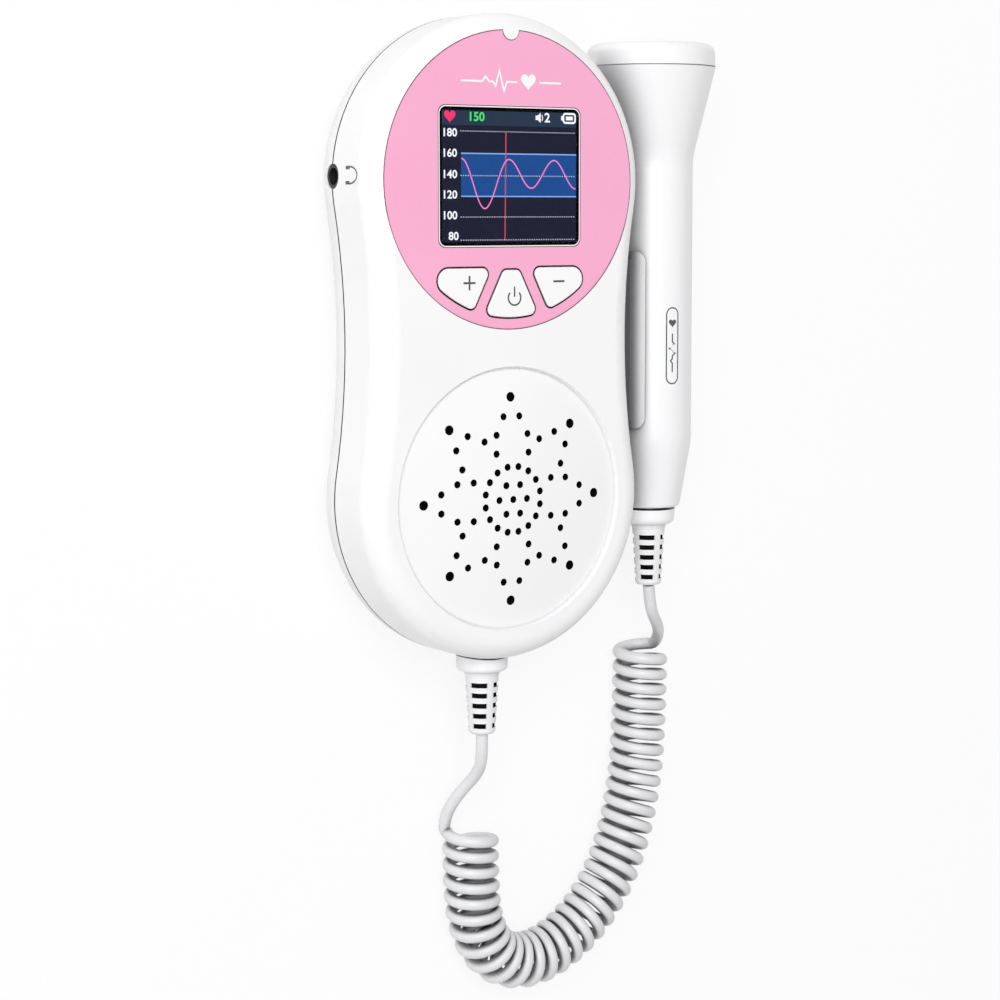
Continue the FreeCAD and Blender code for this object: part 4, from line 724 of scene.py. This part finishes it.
def makePicture():
    look = picture
    z = look["z"]
    layers = [z + 0.008 * step for step in range(7)]
    black = newDrawing()
    addSlab(black, roundedBox(*look["window"], look["corner"]), z, layers[1])
    addPiece("displayMask", drawn("displayMask", black), "main_unit", materials["holeBlack"])
    liner = newDrawing()
    left, foot, right, top = look["window"]
    addStroke(liner, roundedBox(left - 0.055, foot - 0.005, right + 0.055, top + 0.005, look["corner"])[::-1],
              0.03, 27.1, 27.88, closed=True)
    addPiece("windowLiner", drawn("windowLiner", liner), "main_unit", materials["holeBlack"])

    art = newDrawing()
    left, foot, right, top = look["frame"]

    def block(x0, y0, x1, y1, layer, ink):
        addSlab(art, [(x0, y0), (x1, y0), (x1, y1), (x0, y1)], layers[layer], layers[layer] + 0.004, ink)

    block(left, foot, right, look["headerFoot"], 1, look["ground"])
    block(left, look["headerFoot"], right, top, 1, look["header"])
    block(look["graphLeft"], look["bandFoot"], right, look["bandTop"], 2, look["band"])
    for y in (look["bandFoot"], look["bandTop"]):
        block(look["graphLeft"], y - look["edgeHalf"], right, y + look["edgeHalf"], 3, look["bandEdge"])
    for words, y in look["labels"]:
        inset = 0.4 if len(words) == 3 else 1.55
        addLetters(art, words, left + inset, y - 0.8, 1.75, layers[3], look["white"])
    addSlab(art, heartShape(*look["heartPlace"]), layers[3], layers[4], look["heart"])
    addLetters(art, *look["rate"], layers[3], look["green"])
    addLetters(art, *look["volume"], layers[3], look["white"])
    addSlab(art, look["horn"], layers[3], layers[4], look["white"])
    addStroke(art, arcPoints(*look["sound"]), 0.2, layers[3], layers[4], look["white"])
    addStroke(art, roundedBox(*look["cell"])[::-1], 0.42, layers[3], layers[4], look["white"], True)
    block(*look["cellTip"], 3, look["white"])
    block(*look["charge"], 3, look["white"])
    addStroke(art, look["cursor"], 0.24, layers[4], layers[5], look["red"])
    trace = []
    for (x0, y0), (x1, y1) in zip(look["trace"], look["trace"][1:]):
        for step in range(look["stepsPerWave"]):
            share = step / look["stepsPerWave"]
            trace.append((x0 + (x1 - x0) * share, y0 + (y1 - y0) * (0.5 - 0.5 * math.cos(math.pi * share))))
    addStroke(art, trace + [look["trace"][-1]], look["traceLine"], layers[5], layers[6], look["traceInk"])
    ink = inkMaterial()
    addPiece("displayPicture", drawn("displayPicture", art), "main_unit", ink)

    starts = pointCloud("rowStarts", [(look["graphLeft"], y, layers[3]) for y in look["rows"]])
    count = look["dotsInRow"]
    mesh = runTree(starts, dotTree(), {"Count": count, "Pitch": (right - look["graphLeft"]) / count * mm,
                                       "Dot": look["dot"] * mm, "Ink": (*look["dots"], 1), "Cells": ink})
    bpy.data.objects.remove(starts)
    addPiece("displayDots", mesh, "main_unit", None)
    print("picture made")


makePicture()


# Signs printed on the keys, beside the headphone socket, on the plate and on the probe.
signs = {
    "keyTop": 28.2, "line": 0.42,
    "plus": {"cross": (-10.70, 12.40), "reach": 1.5}, "minus": {"from": (10.7, 12.45), "to": (13.62, 12.45)},
    "power": {"ring": (0.68, 9.15), "radius": 1.58, "bar": ((0.69, 9.35), (0.69, 11.5)), "line": 0.36},
    "phones": {"middle": 34.75, "foot": 20.2, "half": 1.75, "top": 23.4},
    "skin": 0.015, "plateTop": 27.9, "plateLine": 0.42, "flankRadius": 35.0,
    "pulse": [(-12.6, 54.3), (-7.2, 54.3), (-6.4, 55.3), (-5.5, 54.3), (-4.6, 54.3), (-3.9, 53.4),
              (-2.9, 56.6), (-1.8, 52.4), (-1.0, 54.3), (1.6, 54.3)],
    "plateHeart": (4.4, 54.6, 1.9), "rule": [(7.2, 54.3), (12.8, 54.3)],
    "label": {"angle": -4.6, "half": 1.5, "foot": -11.0, "top": 5.95, "line": 0.28, "heart": (0, 2.6, 0.95),
              "pulse": [(0, 0.2), (0, -1.6), (0.5, -2.1), (-0.8, -3.1), (0.8, -4.2), (0, -4.7), (0, -5.4),
                        (-0.45, -5.9), (0, -6.4), (0, -8.4)]},
    "arrow": {"head": [(-3, -40), (3, -40), (0, -44.5)], "low": 0.02, "high": 0.16,
              "tail": [(-1, -39.9), (1, -39.9), (1, -34), (-1, -34)]},
}


def flankBend(x, y, z):
    # drawings in (along the unit, up) laid on the round flank of the head
    head, radius = headCentre[1], signs["flankRadius"] + z
    return -math.sqrt(radius ** 2 - (x - head) ** 2), x, y


def handleBend(x, y, z):
    # drawings in (round the handle, along it) laid on the handle
    turn = math.radians(signs["label"]["angle"]) + x / handleRadius
    return (probeAxis[0] + (handleRadius + z) * math.sin(turn), y,
            probeAxis[1] + (handleRadius + z) * math.cos(turn))


def makeSigns():
    top, line = signs["keyTop"], signs["line"]
    grey = materials["signGrey"]
    skin = signs["skin"]

    plus = newDrawing()
    x, y = signs["plus"]["cross"]
    reach = signs["plus"]["reach"]
    half = line / 2
    addSlab(plus, [(x - reach, y - half), (x - half, y - half), (x - half, y - reach), (x + half, y - reach),
                   (x + half, y - half), (x + reach, y - half), (x + reach, y + half), (x + half, y + half),
                   (x + half, y + reach), (x - half, y + reach), (x - half, y + half), (x - reach, y + half)],
            top, top + skin)
    addPiece("plusSign", drawn("plusSign", plus), "plus_button", grey)

    minus = newDrawing()
    addStroke(minus, [signs["minus"]["from"], signs["minus"]["to"]], line, top, top + skin)
    addPiece("minusSign", drawn("minusSign", minus), "minus_button", grey)

    power = newDrawing()
    radius = signs["power"]["radius"]
    fine = signs["power"]["line"]
    addStroke(power, arcPoints(signs["power"]["ring"], (radius, radius), 138, 402, 32), fine, top, top + skin)
    addStroke(power, list(signs["power"]["bar"]), fine, top, top + skin)
    addPiece("powerSign", drawn("powerSign", power), "power_button", grey)

    phones = newDrawing()
    look = signs["phones"]
    height = look["top"] - look["foot"]
    addStroke(phones, arcPoints((look["middle"], look["foot"]), (look["half"], height), 0, 180, 28),
              0.34, -0.01, skin)
    for side in (-1, 1):
        x = look["middle"] + side * (look["half"] - 0.2)
        addStroke(phones, [(x, look["foot"] - 1.4), (x, look["foot"] - 0.7), (x, look["foot"] + 0.2)],
                  0.7, -0.01, skin)
    addPiece("phonesSign", drawn("phonesSign", phones, flankBend), "main_unit", grey)

    mark = newDrawing()
    low, high = signs["plateTop"], signs["plateTop"] + skin
    width = signs["plateLine"]
    addStroke(mark, signs["pulse"], width, low, high)
    addSlab(mark, heartShape(*signs["plateHeart"]), low, high)
    addStroke(mark, signs["rule"], width, low, high)
    addPiece("plateMark", drawn("plateMark", mark), "main_unit", materials["signWhite"])

    label = newDrawing()
    look = signs["label"]
    outline = roundedBox(-look["half"], look["foot"], look["half"], look["top"], look["half"], 8)[::-1]
    addStroke(label, outline, look["line"], -0.01, skin, closed=True)
    addSlab(label, heartShape(*look["heart"]), 0.01, 0.02 + skin)
    addStroke(label, look["pulse"], 0.3, -0.005, skin)
    addPiece("probeLabel", drawn("probeLabel", label, handleBend), "probe", grey)

    arrow = newDrawing()        # points to the cord end, within the door's outer skin
    look = signs["arrow"]
    for outline in (look["head"], look["tail"]):
        addSlab(arrow, outline[::-1], look["low"], look["high"])
    addPiece("doorArrow", drawn("doorArrow", arrow), "door", materials["doorWhite"])
    print("signs made")


makeSigns()


# Dark linings, painted shade: black sleeves in the speaker holes, black cores in the slots of both boots
# and a grey ring in the probe's cap seam stand in for the shade inside them.
linings = {
    "rings": [(1, 0.0, 0.0), (6, 3.54, 30.0), (16, 7.11, 11.25), (8, 10.74, 22.5)],
    "armPairs": [(14.45, 15.92), (17.87, 6.52)], "arms": 8, "tipReach": 21.9,
    "middle": tailCentre, "crown": 28.7, "dome": 227.0, "hole": 0.77, "tip": 1.04, "depth": 2.4, "drop": 0.06,
    "wall": 0.03, "foot": 0.3, "unitCordHeight": 16.3,
    "bootRoots": {"unitBootCore": -72.55, "probeBootCore": -43.4},
    "core": [(0, 1.9), (3.3, 2.0), (3.2, 5.0), (2.7, 12.9), (0, 13.0)],
    "capSeam": [(12.9, 59.18), (14.12, 59.18), (14.12, 59.47), (12.9, 59.47), (12.9, 59.18)],
}


def turnedMesh(name, profile, segments, put):
    # a run of (radius, place along) pairs turned about a line; put gives the point of (out, along, turn)
    verts, faces, rings = [], [], []
    for radius, along in profile:
        if radius == 0:
            rings.append([len(verts)])
            verts.append(Vector(put(0, along, 0)) * mm)
        else:
            rings.append(list(range(len(verts), len(verts) + segments)))
            turns = [2 * math.pi * index / segments for index in range(segments)]
            verts += [Vector(put(radius, along, turn)) * mm for turn in turns]
    for lower, upper in zip(rings, rings[1:]):
        for index in range(segments):
            after = (index + 1) % segments
            corners = [lower[index % len(lower)], lower[after % len(lower)],
                       upper[after % len(upper)], upper[index % len(upper)]]
            faces.append(list(dict.fromkeys(corners)))
    mesh = bpy.data.meshes.new(name)
    mesh.from_pydata(verts, [], faces)
    mesh.update()
    shape = bmesh.new()
    shape.from_mesh(mesh)
    bmesh.ops.recalc_face_normals(shape, faces=shape.faces)
    shape.to_mesh(mesh)
    shape.free()
    return mesh


def cupTree():
    # one cup at each point, as wide as the point says
    tree, start, end = nodeTree("holeCups", [("Cup", "NodeSocketObject", None),
                                             ("Lining", "NodeSocketMaterial", None)])
    cup = addNode(tree, "GeometryNodeObjectInfo", {"Object": start.outputs["Cup"]})
    wide = addNode(tree, "GeometryNodeInputNamedAttribute", {"Name": "wide"}, data_type="FLOAT_VECTOR")
    cups = addNode(tree, "GeometryNodeInstanceOnPoints", {"Points": start.outputs["Geometry"],
                   "Instance": cup.outputs["Geometry"], "Scale": wide.outputs[0]})
    real = addNode(tree, "GeometryNodeRealizeInstances", {"Geometry": cups.outputs[0]})
    dressed = addNode(tree, "GeometryNodeSetMaterial", {"Geometry": real.outputs[0],
                                                        "Material": start.outputs["Lining"]})
    tree.links.new(dressed.outputs[0], end.inputs["Geometry"])
    return tree


def makeLinings():
    look = linings
    spots = [(radius, start + index * 360 / count, 1.0)
             for count, radius, start in look["rings"] for index in range(count)]
    for arm in range(look["arms"]):
        middle = arm * 360 / look["arms"]
        for radius, spread in look["armPairs"]:
            spots += [(radius, middle - spread, 1.0), (radius, middle + spread, 1.0)]
        spots.append((look["tipReach"], middle, look["tip"] / look["hole"]))
    points = []
    for radius, angle, wide in spots:
        turn = math.radians(angle)
        top = look["crown"] - look["dome"] + math.sqrt(look["dome"] ** 2 - radius ** 2) - look["drop"]
        points.append((look["middle"][0] + radius * math.sin(turn),
                       look["middle"][1] + radius * math.cos(turn), top))
    cloud = pointCloud("holePlaces", points)
    widths = cloud.data.attributes.new("wide", "FLOAT_VECTOR", "POINT")
    for item, spot in zip(widths.data, spots):
        item.vector = (spot[2], spot[2], 1)
    # painted shade: a black cup lines each speaker hole
    hole, depth = look["hole"], look["depth"]
    inside, foot = hole - look["wall"], look["foot"] - depth
    profile = [(0, -depth), (hole, -depth), (hole, 0), (inside, 0), (inside, foot), (0, foot)]
    cup = bpy.data.objects.new("cup", turnedMesh("cup", profile, 20, lambda out, along, turn: (
        out * math.cos(turn), out * math.sin(turn), along)))
    scene.collection.objects.link(cup)
    mesh = runTree(cloud, cupTree(), {"Cup": cup, "Lining": materials["holeBlack"]})
    bpy.data.objects.remove(cloud)
    bpy.data.objects.remove(cup)
    addPiece("holeSleeves", mesh, "main_unit", None)
    # painted shade: a black core shows in the slots of each boot
    for name, body, (x, z) in (("unitBootCore", "main_unit", (0, look["unitCordHeight"])),
                               ("probeBootCore", "probe", probeAxis)):
        root = look["bootRoots"][name]
        core = turnedMesh(name, look["core"], 32, lambda out, along, turn: (
            x + out * math.cos(turn), root - along, z + out * math.sin(turn)))
        for polygon in core.polygons:
            polygon.use_smooth = True
        addPiece(name, core, body, materials["holeBlack"])
    # painted shade: a grey ring fills the cap seam where its gap lies in shade
    seam = turnedMesh("capSeam", look["capSeam"], 72, lambda out, along, turn: (
        probeAxis[0] + out * math.cos(turn), along, probeAxis[1] + out * math.sin(turn)))
    addPiece("capSeam", seam, "probe", materials["capSeamShadeGrey"])
    print("linings made:", len(spots), "holes")


makeLinings()


# Floor and light.
stage = {"floorSize": 6.0, "floorDrop": 0.0001,
         "floorTone": (0.86, 0.86, 0.86), "floorDrift": (0.85, 0.85, 0.85),
         "whiteShare": 0.84, "world": 0.47, "aim": (0.015, -0.03, 0),
         "softBox": {"at": (-0.65, 0.37, 1.16), "size": 0.9, "power": 15.6},
         "lowFill": {"at": (-0.75, -0.55, 0.55), "size": 0.9, "power": 0.3}}


def floorMaterial():
    material = bpy.data.materials.new("paperFloor")
    material.use_nodes = True
    tree = material.node_tree
    tree.nodes.clear()
    where = objectPlace(tree)
    tone = mixed(tree, ranged(tree, patches(tree, where, 60), 0, 1), stage["floorTone"], stage["floorDrift"])
    matt = addNode(tree, "ShaderNodeBsdfDiffuse", {"Color": tone})
    white = addNode(tree, "ShaderNodeEmission", {"Color": (1, 1, 1, 1), "Strength": 1.0})
    ray = addNode(tree, "ShaderNodeLightPath")
    seen = combined(tree, "MAXIMUM", ray.outputs["Is Camera Ray"], ray.outputs["Is Glossy Ray"])
    seen = combined(tree, "MAXIMUM", seen, ray.outputs["Is Transmission Ray"])
    share = combined(tree, "MULTIPLY", seen, stage["whiteShare"])
    bright = addNode(tree, "ShaderNodeMixShader", {0: share, 1: matt.outputs[0], 2: white.outputs[0]})
    under = addNode(tree, "ShaderNodeNewGeometry").outputs["Backfacing"]
    clear = addNode(tree, "ShaderNodeBsdfTransparent")
    sheet = addNode(tree, "ShaderNodeMixShader", {0: under, 1: bright.outputs[0], 2: clear.outputs[0]})
    output = addNode(tree, "ShaderNodeOutputMaterial")
    tree.links.new(sheet.outputs[0], output.inputs["Surface"])
    return material


def makeStage():
    half, low = stage["floorSize"] / 2, -stage["floorDrop"]
    mesh = bpy.data.meshes.new("floor")
    mesh.from_pydata([(-half, -half, low), (half, -half, low), (half, half, low), (-half, half, low)], [],
                     [(0, 1, 2, 3)])
    mesh.materials.append(floorMaterial())
    floor = bpy.data.objects.new("floor", mesh)
    scene.collection.objects.link(floor)
    world = bpy.data.worlds.new("studio")
    world.use_nodes = True
    tree = world.node_tree
    tree.nodes.clear()
    ray = addNode(tree, "ShaderNodeLightPath")
    level = ranged(tree, ray.outputs["Is Camera Ray"], stage["world"], 1.0, 0, 1)
    sky = addNode(tree, "ShaderNodeBackground", {"Color": (1, 1, 1, 1), "Strength": level})
    output = addNode(tree, "ShaderNodeOutputWorld")
    tree.links.new(sky.outputs[0], output.inputs["Surface"])
    scene.world = world
    for name in ("softBox", "lowFill"):
        lamp = stage[name]
        data = bpy.data.lights.new(name, "AREA")
        data.shape, data.size, data.energy = "SQUARE", lamp["size"], lamp["power"]
        light = bpy.data.objects.new(name, data)
        scene.collection.objects.link(light)
        light.location = lamp["at"]
        aim = Vector(stage["aim"]) - Vector(lamp["at"])
        light.rotation_euler = aim.to_track_quat("-Z", "Y").to_euler()


makeStage()
print("stage made")
